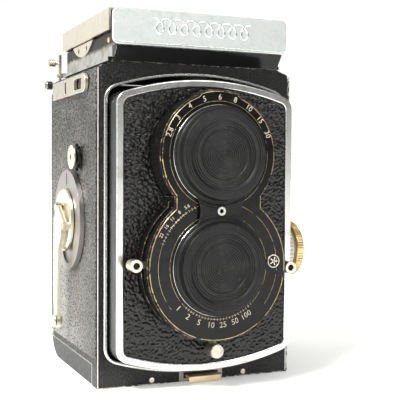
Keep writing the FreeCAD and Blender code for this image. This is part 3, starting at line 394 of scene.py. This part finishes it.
# ================================================================ bright metal
# Rims, ring, lugs, levers and crank are brass under nickel plate, bright but a little yellowed.
# The lid and the nameplate are bare aluminium, dull and marked by handling.
def bright_metal(name, colour, stain, roughness, scratch, stain_amount=0.5):
    material, tree, shade = new_shader(name)
    clouds = fit(tree, grain(tree, 9.0, 6.0, 0.65), 0.50, 0.78, 0.0, stain_amount)
    spots = fit(tree, grain(tree, 0.9, 5.0, 0.7), 0.64, 0.70, 0.0, stain_amount)
    tint = mix_colour(tree, maths(tree, "MAXIMUM", clouds, spots), (*colour, 1), (*stain, 1))
    tree.links.new(tint, shade.inputs["Base Color"])
    shade.inputs["Metallic"].default_value = 1.0
    lines = grain(tree, 0.35, 3.0, 0.6, (0.12, 0.12, 1.0), (0.35, 0.2, 0.5))
    rough = fit(tree, maths(tree, "ADD", clouds, maths(tree, "MULTIPLY", lines, scratch)), 0.0, 1.4,
                roughness, roughness + 0.26)
    tree.links.new(rough, shade.inputs["Roughness"])
    bump(tree, shade, lines, 0.0012 * (1 + 2 * scratch))
    return material


nickel = bright_metal("nickel plate", (0.74, 0.74, 0.71), (0.46, 0.41, 0.32), 0.22, 0.5, 0.40)
dull_nickel = bright_metal("dull nickel", (0.46, 0.44, 0.42), (0.30, 0.27, 0.24), 0.34, 0.7, 0.5)
aluminium = bright_metal("satin aluminium", (0.86, 0.89, 0.88), (0.50, 0.57, 0.55), 0.38, 1.0, 0.9)
lid_metal = bright_metal("worn aluminium", (0.70, 0.67, 0.58), (0.46, 0.41, 0.31), 0.36, 1.0, 0.6)
lug_metal = bright_metal("tarnished lug", (0.72, 0.68, 0.58), (0.30, 0.24, 0.16), 0.30, 0.6, 0.8)
brass = bright_metal("worn brass", (0.88, 0.70, 0.38), (0.55, 0.38, 0.18), 0.26, 0.5, 0.5)
pale_brass = bright_metal("nickelled brass", (0.90, 0.85, 0.72), (0.62, 0.50, 0.32), 0.26, 0.4, 0.5)
tongue_brass = bright_metal("latch brass", (0.84, 0.70, 0.48), (0.60, 0.46, 0.28), 0.30, 0.5, 0.6)
dark_steel = bright_metal("dark steel", (0.12, 0.115, 0.11), (0.06, 0.06, 0.06), 0.34, 0.6, 0.4)
special = {"crank_plate": dull_nickel, "strap_lugs": lug_metal, "latch_plate": dull_nickel,
           "hood_brackets": pale_brass}
for name, width in (("front_ring", 0.35), ("strap_lugs", 0.3), ("hood_brackets", 0.12), ("crank_plate", 0.3),
                    ("latch_plate", 0.1), ("hood_hinge_pin", 0.1), ("spool_pins", 0.1)):
    softened(name, "camera_body", width, special.get(name, nickel))
softened("back_hinge_pin", "camera_body", 0.15, dark_steel, pale_brass)
softened("front_screws", "camera_body", 0.10, pale_brass)
board_skin, tree, shade = new_shader("lens board plate")
rim_depth = 0.55 * MM
skirt = maths(tree, "GREATER_THAN", coordinates(tree)["Y"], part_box("lens_board")[0].y + rim_depth)
streak = fit(tree, grain(tree, 1.2, 4.0, 0.6, (1, 1, 0.06)), 0.3, 0.7)
rim_tone = mix_colour(tree, fit(tree, grain(tree, 6.0, 5.0), 0.5, 0.75), (0.84, 0.84, 0.82, 1),
                      (0.62, 0.60, 0.54, 1))
# Painted shade: the board's side is given a darker metal tone than its bright rim.
painted_shade_skirt_tone = mix_colour(tree, streak, (0.20, 0.21, 0.21, 1), (0.34, 0.35, 0.35, 1))
tree.links.new(mix_colour(tree, skirt, rim_tone, painted_shade_skirt_tone), shade.inputs["Base Color"])
shade.inputs["Metallic"].default_value = 1.0
tree.links.new(fit(tree, maths(tree, "MULTIPLY", streak, skirt), 0.0, 1.0, 0.26, 0.36),
               shade.inputs["Roughness"])
softened("lens_board", "sliding_front", 0.45, board_skin, segments=3)
softened("nameplate", "camera_body", 0.25, aluminium)


# ================================================================ lens and shutter housing
# One casting shaped like a figure of eight carries both lenses; its face is black enamel.
# Gilt lines edge the enamel, and the shutter's scales are engraved in it and filled.
viewing_z, taking_z = ((low.z + high.z) / 2 for low, high in (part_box("viewing_lens"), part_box("taking_lens")))
face_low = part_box("housing_faceplate")[0]
face_y = face_low.y
shutter_radius = taking_z - face_low.z
viewing_radius = shutter_radius - 4.5 * MM
neck_half = 15.9 * MM
line_inset = 0.25 * MM
upper_ring, outer_ring, inner_ring = 18.6 * MM, 22.6 * MM, 18.4 * MM

gloss_black = black_coat("gloss enamel", 0.0, 0.0, 0.16, 0.35, (0.75, 0.55, 0.28), wear=0.55)
shell_black = black_coat("housing lacquer", 0.8, 0.012, 0.26, 0.4, (0.75, 0.58, 0.34), wear=0.6)
softened("lens_housing", "sliding_front", 0.3, shell_black, rubbed_brass)
softened("housing_faceplate", "sliding_front", 0.2, gloss_black, rubbed_brass)
gilt, tree, shade = new_shader("gilt line")
tarnish = fit(tree, grain(tree, 2.0, 4.0), 0.4, 0.7)
gone = fit(tree, grain(tree, 5.0, 5.0, 0.7), 0.53, 0.58)
gold = mix_colour(tree, tarnish, (0.86, 0.70, 0.42, 1), (0.50, 0.37, 0.20, 1))
tree.links.new(mix_colour(tree, gone, gold, (0.03, 0.025, 0.02, 1)), shade.inputs["Base Color"])
tree.links.new(maths(tree, "SUBTRACT", 1.0, gone), shade.inputs["Metallic"])
shade.inputs["Roughness"].default_value = 0.3
filled, tree, shade = new_shader("filled engraving")
tree.links.new(mix_colour(tree, grain(tree, 0.6), (0.80, 0.76, 0.62, 1), (0.55, 0.50, 0.38, 1)),
               shade.inputs["Base Color"])
shade.inputs["Roughness"].default_value = 0.45


def wire(name, points, radius_mm, closed, material, body):
    """A thin round line through points."""
    curve = bpy.data.curves.new(name, "CURVE")
    curve.dimensions = "3D"
    curve.bevel_depth = radius_mm * MM
    curve.bevel_resolution = 2
    path = curve.splines.new("POLY")
    path.points.add(len(points) - 1)
    for spot, point in zip(path.points, points):
        spot.co = (*point, 1)
    path.use_cyclic_u = closed
    drawn = link_object(name + "_path", curve)
    mesh = plain_mesh(drawn)
    bpy.data.objects.remove(drawn)
    mesh.materials.clear()
    mesh.materials.append(material)
    mesh.shade_smooth()
    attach(link_object(name, mesh), body)


def arc(centre_z, radius, start, end, y, count=48):
    steps = [math.radians(start + (end - start) * step / count) for step in range(count + 1)]
    return [(radius * math.cos(turn), y, centre_z + radius * math.sin(turn)) for turn in steps]


def figure_eight(upper, lower, neck, y):
    """The outline of the housing's face, with the low crest at its top."""
    crest_rise, crest_half = 0.8 * MM, 7.8 * MM
    low_turn = math.degrees(math.acos(neck / lower))
    high_turn = math.degrees(math.acos(neck / upper))
    points = arc(taking_z, lower, 180 - low_turn, 360 + low_turn, y, 72)
    for x, _, z in arc(viewing_z, upper, -high_turn, 180 + high_turn, y, 72):
        lift = crest_rise if z > viewing_z and abs(x) < crest_half else 0.0
        points.append((x, y, z + lift))
    return points


wire("gilt_edge", figure_eight(viewing_radius - line_inset, shutter_radius - line_inset, neck_half, face_y),
     0.14, True, gilt, "sliding_front")
wire("upper_ring_line", arc(viewing_z, upper_ring, 0, 360, face_y, 90)[:-1], 0.07, True, gilt,
     "sliding_front")
wire("shutter_ring_line", arc(taking_z, outer_ring, -38, 218, face_y, 90), 0.08, False, gilt,
     "sliding_front")
wire("shutter_inner_line", arc(taking_z, inner_ring, 0, 360, face_y, 90)[:-1], 0.07, True, gilt,
     "sliding_front")

shell_low, shell_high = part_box("body_shell")
wear_inset = 0.12 * MM
wear_y = shell_low.y + wear_inset
for label, x in (("left", shell_low.x + wear_inset), ("right", shell_high.x - wear_inset)):
    ends = [(x, wear_y, z) for z in (shell_low.z + 0.4 * MM, shell_high.z - 2.6 * MM)]
    wire("worn_corner_" + label, ends, 0.26, False, rubbed, "camera_body")
foot_z = shell_low.z + 0.25 * MM
foot_ends = [(x, wear_y, foot_z) for x in (shell_low.x + 0.3 * MM, shell_high.x - 0.3 * MM)]
wire("worn_foot", foot_ends, 0.22, False, rubbed, "camera_body")


def glyph(text, size_mm):
    """A numeral's mesh, centred on its own origin and facing +Z."""
    em_per_height = 1.35
    fill_depth = 0.08 * MM
    curve = bpy.data.curves.new("glyph", "FONT")
    curve.body = text
    curve.size = size_mm * MM * em_per_height
    curve.extrude = fill_depth / 2
    curve.align_x = "CENTER"
    curve.align_y = "CENTER"
    curve.resolution_u = 3
    drawn = link_object("glyph", curve)
    mesh = plain_mesh(drawn)
    bpy.data.objects.remove(drawn)
    return mesh


def built(name, shape, body, materials, place=None):
    """A piece made from a bmesh, which it uses up."""
    mesh = bpy.data.meshes.new(name)
    shape.to_mesh(mesh)
    shape.free()
    if place:
        mesh.transform(place)
    for material in materials:
        mesh.materials.append(material)
    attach(link_object(name, mesh), body)


def lettering(name, marks, size_mm, material, body):
    """Several numerals, each at its own place, as one piece."""
    shape = bmesh.new()
    for text, place in marks:
        mesh = glyph(text, size_mm)
        mesh.transform(place)
        shape.from_mesh(mesh)
        bpy.data.meshes.remove(mesh)
    built(name, shape, body, (material,))


def on_face(centre_z, radius_mm, turn, y, upright_at=90):
    """A place on the faceplate; the numeral stands upright where its turn is upright_at."""
    around = math.radians(turn)
    spot = Vector((radius_mm * MM * math.cos(around), y, centre_z + radius_mm * MM * math.sin(around)))
    upright = Matrix.Rotation(math.radians(90), 4, "X")
    lean = Matrix.Rotation(math.radians(upright_at - turn), 4, "Y")
    return Matrix.Translation(spot) @ lean @ upright


def along_arc(words, start, end):
    """Each word with its turn, spread evenly from start to end."""
    step = (end - start) / (len(words) - 1)
    return [(word, start + step * number) for number, word in enumerate(words)]


upper_scale = along_arc(("2.8", "3", "4", "5", "6", "8", "10", "15", "30"), 158, 22)
lettering("viewing_scale", [(text, on_face(viewing_z, 19.95, turn, face_y)) for text, turn in upper_scale],
          2.0, filled, "sliding_front")
speeds = along_arc(("1", "2", "5", "10", "25", "50", "100"), 222, 301)
lettering("speed_scale", [(text, on_face(taking_z, 20.5, turn, face_y, 270)) for text, turn in speeds],
          2.1, filled, "sliding_front")
stops = along_arc(("22", "16", "11", "8", "5.6"), 152, 120)
lettering("stop_scale", [(text, on_face(taking_z, 24.3, turn, face_y)) for text, turn in stops],
          1.3, filled, "sliding_front")


# ================================================================ engraved divisions and knurls
# Divisions, knurls and star wheels are one small tooth repeated round a turned edge.
# Each is cut at a fixed pitch; knobs carry them so that a finger can grip.
def tooth_ring(kind):
    """A node tree that repeats a tooth round an arc: a bar, or a ridge with six sides."""
    tree = bpy.data.node_groups.new("ring of teeth, " + kind, "GeometryNodeTree")
    for name, sort, value in (("Count", "NodeSocketInt", 24), ("Radius", "NodeSocketFloat", 0.01),
                              ("Sweep", "NodeSocketFloat", 6.28), ("Depth", "NodeSocketFloat", 0.0004),
                              ("Width", "NodeSocketFloat", 0.0004), ("Length", "NodeSocketFloat", 0.002)):
        socket = tree.interface.new_socket(name, in_out="INPUT", socket_type=sort)
        socket.default_value = value
    tree.interface.new_socket("Finish", in_out="INPUT", socket_type="NodeSocketMaterial")
    tree.interface.new_socket("Geometry", in_out="OUTPUT", socket_type="NodeSocketGeometry")
    given = tree.nodes.new("NodeGroupInput").outputs
    circle = add(tree, "GeometryNodeCurveArc", {"Resolution": 128, "Radius": given["Radius"],
                                                "Sweep Angle": given["Sweep"]})
    points = add(tree, "GeometryNodeCurveToPoints", {"Curve": circle.outputs[0], "Count": given["Count"]},
                 mode="COUNT")
    spot = add(tree, "GeometryNodeInputPosition").outputs[0]
    turn = add(tree, "FunctionNodeAlignRotationToVector", {"Vector": spot}, axis="X")
    size = add(tree, "ShaderNodeCombineXYZ", {0: given["Depth"], 1: given["Width"], 2: given["Length"]})
    if kind == "bar":
        tooth = add(tree, "GeometryNodeMeshCube", {"Size": (1, 1, 1)})
    else:
        tooth = add(tree, "GeometryNodeMeshCylinder", {"Vertices": 6, "Radius": 0.5, "Depth": 1.0})
    repeated = add(tree, "GeometryNodeInstanceOnPoints",
                   {"Points": points.outputs["Points"], "Instance": tooth.outputs["Mesh"],
                    "Rotation": turn.outputs[0], "Scale": size.outputs[0]})
    real = add(tree, "GeometryNodeRealizeInstances", {0: repeated.outputs[0]})
    done = add(tree, "GeometryNodeSetMaterial", {"Geometry": real.outputs[0], "Material": given["Finish"]})
    tree.links.new(done.outputs[0], tree.nodes.new("NodeGroupOutput").inputs[0])
    return tree


trees = {kind: tooth_ring(kind) for kind in ("bar", "ridge")}


def teeth(name, kind, count, radius, size, place, material, body, sweep=360.0):
    """A ring or arc of teeth; size is depth, width and length in millimetres."""
    mesh = bpy.data.meshes.new(name + "_seed")
    piece = link_object(name, mesh)
    maker = piece.modifiers.new("teeth", "NODES")
    maker.node_group = trees[kind]
    closed = sweep == 360.0
    full = sweep * (count - 1) / count if closed else sweep
    values = {"Count": count, "Radius": radius, "Sweep": math.radians(full), "Depth": size[0] * MM,
              "Width": size[1] * MM, "Length": size[2] * MM, "Finish": material}
    for socket in trees[kind].interface.items_tree:
        if socket.name in values and socket.in_out == "INPUT":
            maker[socket.identifier] = values[socket.name]
    settle(piece)
    piece.data.transform(place)
    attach(piece, body)


def axis_place(axis, centre, turn=0.0):
    """The pose of a ring whose own axis Z lies along X or Y of the camera."""
    facing = {"x": Matrix.Rotation(math.radians(90), 4, "Y"), "y": Matrix.Rotation(math.radians(-90), 4, "X")}
    return Matrix.Translation(centre) @ facing[axis] @ Matrix.Rotation(math.radians(turn), 4, "Z")


shutter_centre = Vector((0, face_y, taking_z))
for name, radius, count, sweep, turn in (("stop_divisions", outer_ring, 15, 44.0, 114),
                                         ("speed_divisions", inner_ring, 24, 84.0, 228)):
    place = axis_place("y", shutter_centre, -turn - sweep)
    teeth(name, "bar", count, radius, (0.9, 0.16, 0.12), place, filled, "sliding_front", sweep)

roundel = Vector((21.4 * MM, face_y, taking_z + 1.2 * MM))
roundel_radius = 2.2 * MM
roundel_steps = 32
circle = [roundel_radius * Vector((math.cos(step * math.tau / roundel_steps), 0,
                                   math.sin(step * math.tau / roundel_steps)))
          for step in range(roundel_steps)]
wire("roundel", [roundel + point for point in circle], 0.22, True, pale_brass, "sliding_front")
teeth("roundel_star", "bar", 5, 0.9 * MM, (1.3, 0.36, 0.3), axis_place("y", roundel), pale_brass,
      "sliding_front")


# ================================================================ lenses
# Each lens is polished glass in a blackened barrel with a bright bezel at its foot.
# Behind the taking lens are the shutter's five blades and the iris's ten leaves.
barrel_metal = bright_metal("bezel metal", (0.74, 0.74, 0.72), (0.40, 0.38, 0.33), 0.22, 0.4, 0.4)
for name in ("viewing", "taking"):
    softened(name + "_lens_barrel", "sliding_front", 0.12, barrel_metal)
glass, tree, shade = new_shader("coated glass")
shade.inputs["Base Color"].default_value = (0.93, 0.96, 0.98, 1)
shade.inputs["Roughness"].default_value = 0.02
shade.inputs["IOR"].default_value = 1.52
shade.inputs["Transmission Weight"].default_value = 1.0
bump(tree, shade, grain(tree, 6.0), 0.001)
for name in ("viewing_lens", "taking_lens", "magnifier_lens"):
    coat(name, glass)
blade_steel = bright_metal("blade steel", (0.16, 0.16, 0.17), (0.08, 0.08, 0.08), 0.38, 0.8, 0.4)
for name in ("shutter_blades", "iris_blades"):
    coat(name, blade_steel)
silvered, tree, shade = new_shader("silvered mirror")
shade.inputs["Metallic"].default_value = 1.0
tree.links.new(fit(tree, grain(tree, 20.0), 0.3, 0.7, 0.02, 0.05), shade.inputs["Roughness"])
tree.links.new(mix_colour(tree, grain(tree, 12.0), (0.90, 0.91, 0.92, 1), (0.84, 0.85, 0.84, 1)),
               shade.inputs["Base Color"])
coat("mirror", silvered)
ground, tree, shade = new_shader("ground glass")
tree.links.new(mix_colour(tree, grain(tree, 10.0), (0.62, 0.63, 0.60, 1), (0.52, 0.53, 0.50, 1)),
               shade.inputs["Base Color"])
shade.inputs["Roughness"].default_value = 0.55
bump(tree, shade, grain(tree, 0.08, 2.0), 0.01)
coat("focusing_screen", ground)


# ================================================================ lens caps
# A joined pair of push-on caps, turned from brass and painted satin black.
# Fine rings are left by the lathe on the front; an eyelet in the bridge takes a thread.
def turned_paint(name, centres, pitch_mm):
    """Satin black paint over lathe rings about axes that run front to back."""
    material, tree, shade = new_shader(name)
    spot = add(tree, "ShaderNodeTexCoord").outputs["Object"]
    cap_radius = 19 * MM
    rings = None
    for centre_z in centres:
        centre = (0, 0, centre_z)
        away = add(tree, "ShaderNodeVectorMath", {0: spot, 1: centre}, operation="SUBTRACT").outputs[0]
        flat = add(tree, "ShaderNodeVectorMath", {0: away, 1: (1, 0, 1)}, operation="MULTIPLY").outputs[0]
        radius = add(tree, "ShaderNodeVectorMath", {0: flat}, operation="LENGTH").outputs["Value"]
        wave = maths(tree, "SINE", maths(tree, "MULTIPLY", radius, math.tau / (pitch_mm * MM)))
        part = maths(tree, "MULTIPLY", wave, maths(tree, "LESS_THAN", radius, cap_radius))
        rings = part if rings is None else maths(tree, "ADD", rings, part)
    handled = fit(tree, grain(tree, 5.0, 5.0, 0.65), 0.5, 0.75)
    scuffs = fit(tree, grain(tree, 0.7, 5.0, 0.75, (1, 1, 0.3), (0, 0.7, 0)), 0.60, 0.70)
    tone = mix_colour(tree, handled, (0.010, 0.010, 0.010, 1), (0.026, 0.026, 0.024, 1))
    tone = mix_colour(tree, maths(tree, "MULTIPLY", scuffs, 0.35), tone, (0.16, 0.155, 0.145, 1))
    worn = maths(tree, "MULTIPLY", edges(tree, 0.25), fit(tree, grain(tree, 1.5, 4.0), 0.45, 0.6))
    tree.links.new(mix_colour(tree, maths(tree, "MULTIPLY", worn, 0.5), tone, (0.45, 0.43, 0.38, 1)),
                   shade.inputs["Base Color"])
    tree.links.new(fit(tree, handled, 0.0, 1.0, 0.46, 0.34), shade.inputs["Roughness"])
    shade.inputs["Specular IOR Level"].default_value = 0.5
    bump(tree, shade, rings, 0.07)
    return material


cap_black = turned_paint("cap paint", (viewing_z, taking_z), 0.8)
for name in ("cap_viewing", "cap_taking", "cap_bridge"):
    softened(name, "lens_caps", 0.15, cap_black)
softened("cap_eyelet", "lens_caps", 0.1, nickel)


# ================================================================ shutter levers
# The speed and aperture levers end in hollow nickel heads; the lower one cocks and releases.
# The release knob is knurled so that a fingertip holds it.
def disc(name, centre, radius, material, body):
    """A small round plug whose flat faces the front."""
    thickness = 0.3 * MM
    shape = bmesh.new()
    bmesh.ops.create_cone(shape, cap_ends=True, segments=32, radius1=radius, radius2=radius, depth=thickness)
    turn = Matrix.Rotation(math.radians(90), 4, "X")
    bmesh.ops.transform(shape, matrix=Matrix.Translation(centre) @ turn, verts=shape.verts)
    built(name, shape, body, (material,))


for name in ("speed_lever", "aperture_lever", "release_lever"):
    softened(name, name, 0.25, pale_brass if name != "release_lever" else lug_metal)
head_radius, socket_radius, socket_depth = 2.2 * MM, 1.13 * MM, 0.7 * MM
for name in ("speed_lever", "aperture_lever"):
    low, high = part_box(name)
    x = low.x + head_radius if name == "speed_lever" else high.x - head_radius
    centre = Vector((x, low.y + socket_depth, low.z + head_radius))
    disc(name + "_socket", centre, socket_radius, matt_black, name)
low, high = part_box("release_lever")
knob_radius = (high.x - low.x) / 2
knob_centre = Vector(((low.x + high.x) / 2, (low.y + high.y) / 2, low.z + knob_radius))
knurl_length_mm = (high.y - low.y) / MM - 1.6
teeth("release_knurl", "ridge", 30, knob_radius, (0.3, 0.3, knurl_length_mm), axis_place("y", knob_centre),
      lug_metal, "release_lever")


# ================================================================ hood
# The hood's walls are sheet metal: gloss black in front, dull plated at the sides.
# A satin aluminium lid closes over folded leaves and a hinged magnifier.
hood_skin, tree, shade = new_shader("hood walls")
plate_low, plate_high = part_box("nameplate")
wall_thickness = 1.3 * MM
shade_foot, shade_top, shade_ripple = 122.2 * MM, 123.8 * MM, 2 * MM
spot = coordinates(tree)
is_front = maths(tree, "LESS_THAN", spot["Y"], shell_low.y + wall_thickness)
under_plate = maths(tree, "LESS_THAN", spot["Z"], plate_low.z + 0.2 * MM)
behind_plate = maths(tree, "LESS_THAN", spot["Y"], plate_high.y + wall_thickness)
black = maths(tree, "MAXIMUM", maths(tree, "MULTIPLY", is_front, under_plate), behind_plate)
steel = mix_colour(tree, fit(tree, grain(tree, 5.0, 6.0, 0.7), 0.45, 0.7), (0.62, 0.62, 0.60, 1),
                   (0.30, 0.26, 0.20, 1))
ragged = maths(tree, "ADD", spot["Z"], maths(tree, "MULTIPLY", grain(tree, 3.0), shade_ripple))
shadowed = fit(tree, ragged, shade_foot, shade_top)
steel = mix_colour(tree, maths(tree, "MULTIPLY", shadowed, 0.95), steel, (0.03, 0.026, 0.02, 1))
bare = maths(tree, "SUBTRACT", 1.0, black)
tree.links.new(mix_colour(tree, bare, (0.010, 0.010, 0.010, 1), steel), shade.inputs["Base Color"])
tree.links.new(bare, shade.inputs["Metallic"])
tree.links.new(fit(tree, bare, 0.0, 1.0, 0.14, 0.38), shade.inputs["Roughness"])
bump(tree, shade, grain(tree, 2.0), 0.006)
softened("hood_base", "camera_body", 0.14, hood_skin, rubbed)
softened("hood_lid", "hood_lid", 0.3, lid_metal)
flap_black = black_coat("flap enamel", 0.4, 0.01, 0.4, 0.25, wear=0.3)
for name, body in (("hood_flap_crank_side", "flap_crank_side"), ("hood_flap_focus_side", "flap_focus_side"),
                   ("hood_flap_rear", "flap_rear"), ("magnifier_frame", "magnifier")):
    softened(name, body, 0.15, flap_black)
softened("hood_catch", "hood_catch", 0.15, pale_brass)

bead_half, bead_rise = 32.4 * MM, 0.9 * MM
foot_line = [(x, plate_low.y, plate_low.z + bead_rise) for x in (-bead_half, bead_half)]
wire("nameplate_bead", foot_line, 0.28, False, nickel, "camera_body")
polished = bright_metal("polished relief", (0.93, 0.94, 0.93), (0.72, 0.74, 0.73), 0.16, 0.2, 0.3)


def scroll(turns, width, height, centre_z):
    """A running scroll of even loops, the ornament raised on the nameplate."""
    steps = 24
    points = []
    for step in range(turns * steps + 1):
        angle = step / steps * math.tau
        along = (step / (turns * steps) - 0.5) * width + 0.45 * height * math.sin(angle)
        points.append((along, plate_low.y, centre_z + 0.5 * height * math.cos(angle)))
    return points


ornament_z = (plate_low.z + plate_high.z) / 2 + 0.8 * MM
wire("nameplate_scroll", scroll(8, 38 * MM, 5.4 * MM, ornament_z), 0.30, False, polished, "camera_body")

screen_low, screen_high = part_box("focusing_screen")
line_pitch, margin_x, margin_y = 9 * MM, 2.5 * MM, 2 * MM
centre_y = (screen_low.y + screen_high.y) / 2
for number in range(-2, 3):
    offset = number * line_pitch
    lengthways = [(offset, y, screen_high.z) for y in (screen_low.y + margin_y, screen_high.y - margin_y)]
    crossways = [(x, centre_y + offset, screen_high.z) for x in (screen_low.x + margin_x,
                                                                  screen_high.x - margin_x)]
    wire("screen_line_a%d" % (number + 3), lengthways, 0.05, False, matt_black, "camera_body")
    wire("screen_line_b%d" % (number + 3), crossways, 0.05, False, matt_black, "camera_body")


# ================================================================ crank side
# A bright disc backs the crank; its hub is nickelled brass and the arm folds out to wind.
# The small knob above it resets the film counter and turns over a black star wheel.
softened("crank_hub", "crank", 0.2, pale_brass)
softened("crank_hinge_pin", "crank", 0.1, pale_brass)
softened("crank_arm", "crank_arm", 0.3, pale_brass)
softened("crank_handle", "crank_handle", 0.3, nickel)
counter_skin, tree, shade = new_shader("counter knob")
knob_low, knob_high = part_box("counter_knob")
head_depth, star_gap = 1.15 * MM, 1.05 * MM
head = maths(tree, "LESS_THAN", coordinates(tree)["X"], knob_low.x + head_depth)
tree.links.new(mix_colour(tree, head, (0.02, 0.02, 0.02, 1), (0.90, 0.86, 0.74, 1)),
               shade.inputs["Base Color"])
tree.links.new(head, shade.inputs["Metallic"])
tree.links.new(fit(tree, grain(tree, 1.5), 0.3, 0.7, 0.25, 0.4), shade.inputs["Roughness"])
softened("counter_knob", "counter_knob", 0.1, counter_skin)
star_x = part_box("leather_crank_side")[0].x - star_gap
star_centre = Vector((star_x, (knob_low.y + knob_high.y) / 2, (knob_low.z + knob_high.z) / 2))
teeth("counter_star", "ridge", 10, 4.3 * MM, (1.6, 1.1, 0.9), axis_place("x", star_centre), matt_black,
      "counter_knob")


# ================================================================ focusing side
# The focusing knob has a knurled brass rim over a white drum engraved with distances.
# Two pull knobs behind it hold the ends of the film spools.
softened("focus_knob", "focus_knob", 0.25, brass)
rim_low, rim_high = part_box("focus_knob")
rim_half, tick_depth, number_depth = 2.0 * MM, 1.7 * MM, 4.3 * MM
knob_radius = (rim_high.z - rim_low.z) / 2
knob_centre = Vector((rim_high.x - rim_half, (rim_low.y + rim_high.y) / 2, (rim_low.z + rim_high.z) / 2))
teeth("focus_knurl", "ridge", 66, knob_radius, (0.55, 0.62, 2.5), axis_place("x", knob_centre), brass,
      "focus_knob")
white, tree, shade = new_shader("white enamel")
tree.links.new(mix_colour(tree, fit(tree, grain(tree, 3.0, 5.0), 0.5, 0.75), (0.82, 0.80, 0.74, 1),
                          (0.60, 0.55, 0.44, 1)), shade.inputs["Base Color"])
shade.inputs["Roughness"].default_value = 0.3
softened("distance_scale", "focus_knob", 0.15, white)
scale_low, scale_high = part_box("distance_scale")
drum_radius = (scale_high.z - scale_low.z) / 2
tick_centre = Vector((scale_high.x - tick_depth, knob_centre.y, knob_centre.z))
teeth("distance_divisions", "bar", 40, drum_radius, (0.06, 0.18, 1.3), axis_place("x", tick_centre),
      matt_black, "focus_knob")
distances = ("1", "1.2", "1.5", "2", "2.5", "3", "4", "5", "8", "15")
marks = []
for number, text in enumerate(distances):
    turn = math.radians(360 / len(distances) * number + 8)
    outward = Vector((0, -math.cos(turn), math.sin(turn)))
    along = Vector((1, 0, 0))
    across_text = outward.cross(along)
    spot = Vector((scale_high.x - number_depth, knob_centre.y, knob_centre.z)) + outward * drum_radius
    pose = Matrix((along, -across_text, outward)).transposed().to_4x4()
    marks.append((text, Matrix.Translation(spot) @ pose))
lettering("distance_numbers", marks, 1.5, matt_black, "focus_knob")
knob_black = black_coat("knob black", 0.0, 0.0, 0.3, 0.3, wear=0.6)
knurl_half = 1.45 * MM
for name in ("supply_spool_knob", "takeup_spool_knob"):
    softened(name, name, 0.2, knob_black)
    low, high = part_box(name)
    centre = Vector((high.x - knurl_half, (low.y + high.y) / 2, (low.z + high.z) / 2))
    teeth(name + "_knurl", "ridge", 48, (high.z - low.z) / 2, (0.4, 0.45, 1.4), axis_place("x", centre),
          knob_black, name)


# ================================================================ screws
# A small brass screw on each side holds the hood; its domed head has one slot.
# A dark seam runs along the foot of each side wall, where it meets the body.
def screw(name, centre, radius, axis, material, body, turn):
    """A domed, slotted head lying on a surface that faces along the axis."""
    shape = bmesh.new()
    dome = ((1.0, 0.0), (1.0, 0.25), (0.82, 0.42), (0.45, 0.52))
    sides = 24
    rows = []
    for share, rise in dome:
        rows.append([shape.verts.new((share * radius * math.cos(step * math.tau / sides),
                                      share * radius * math.sin(step * math.tau / sides),
                                      rise * radius)) for step in range(sides)])
    for below, above in zip(rows, rows[1:]):
        for step in range(sides):
            after = (step + 1) % sides
            shape.faces.new((below[step], below[after], above[after], above[step]))
    shape.faces.new(rows[-1])
    shape.faces.new(list(reversed(rows[0])))
    slot = bmesh.ops.create_cube(shape, size=1.0)["verts"]
    bmesh.ops.scale(shape, verts=slot, vec=(1.9 * radius, 0.28 * radius, 0.04 * MM))
    bmesh.ops.translate(shape, verts=slot, vec=(0, 0, 0.5 * radius))
    slot_faces = {face for vertex in slot for face in vertex.link_faces}
    for face in shape.faces:
        face.material_index = 1 if face in slot_faces else 0
    facing = Vector(axis).to_track_quat("Z", "Y").to_matrix().to_4x4()
    place = Matrix.Translation(centre) @ facing @ Matrix.Rotation(turn, 4, "Z")
    built(name, shape, body, (material, matt_black), place)


wall_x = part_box("hood_hinge_pin")[1].x
wall_foot = shell_high.z + 1.55 * MM
screw_y, screw_z, screw_radius, screw_turn = -29 * MM, 124 * MM, 1.1 * MM, 0.9
for sign, label in ((-1, "crank_side"), (1, "focus_side")):
    centre = Vector((sign * wall_x, screw_y, screw_z))
    screw("hood_screw_" + label, centre, screw_radius, (sign, 0, 0), brass, "camera_body", screw_turn)
    seam = [(sign * wall_x, y, wall_foot) for y in (-31.5 * MM, 29.5 * MM)]
    wire("hood_seam_" + label, seam, 0.16, False, matt_black, "camera_body")


# ================================================================ back
# The back swings on a pin at its top and covers the body's foot with a black tray, worn bright.
# Inside are the pressure plate, the spools and the roller that turns the film upwards.
tray_skin, tree, shade = new_shader("back plate")
lip_z, lip_half, side_slack = 9.7 * MM, 0.7 * MM, 0.3 * MM
spot = coordinates(tree)
at_side = maths(tree, "GREATER_THAN", maths(tree, "ABSOLUTE", spot["X"]), shell_high.x - side_slack)
lip = maths(tree, "COMPARE", spot["Z"], lip_z)
lip.node.inputs[2].default_value = lip_half
bright = maths(tree, "MULTIPLY", at_side, lip)
bright = maths(tree, "MAXIMUM", bright, maths(tree, "MULTIPLY", edges(tree, 0.5),
                                              fit(tree, grain(tree, 1.6, 5.0), 0.40, 0.55)))
tree.links.new(mix_colour(tree, bright, (0.014, 0.014, 0.013, 1), (0.74, 0.71, 0.64, 1)),
               shade.inputs["Base Color"])
tree.links.new(bright, shade.inputs["Metallic"])
tree.links.new(fit(tree, grain(tree, 2.0), 0.3, 0.7, 0.28, 0.44), shade.inputs["Roughness"])
bump(tree, shade, grain(tree, 0.6), 0.02)
softened("back_door", "back", 0.40, tray_skin, rubbed)
softened("tripod_socket", "back", 0.2, nickel)
softened("pressure_plate", "pressure_plate", 0.2, knob_black)
softened("film_roller", "film_roller", 0.2, nickel)
softened("latch_tongue", "latch", 0.35, tongue_brass)
spool_skin = black_coat("spool enamel", 0.0, 0.0, 0.35, 0.3, wear=0.4)
for name in ("supply_spool", "takeup_spool"):
    softened(name, name, 0.2, spool_skin)

low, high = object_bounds()
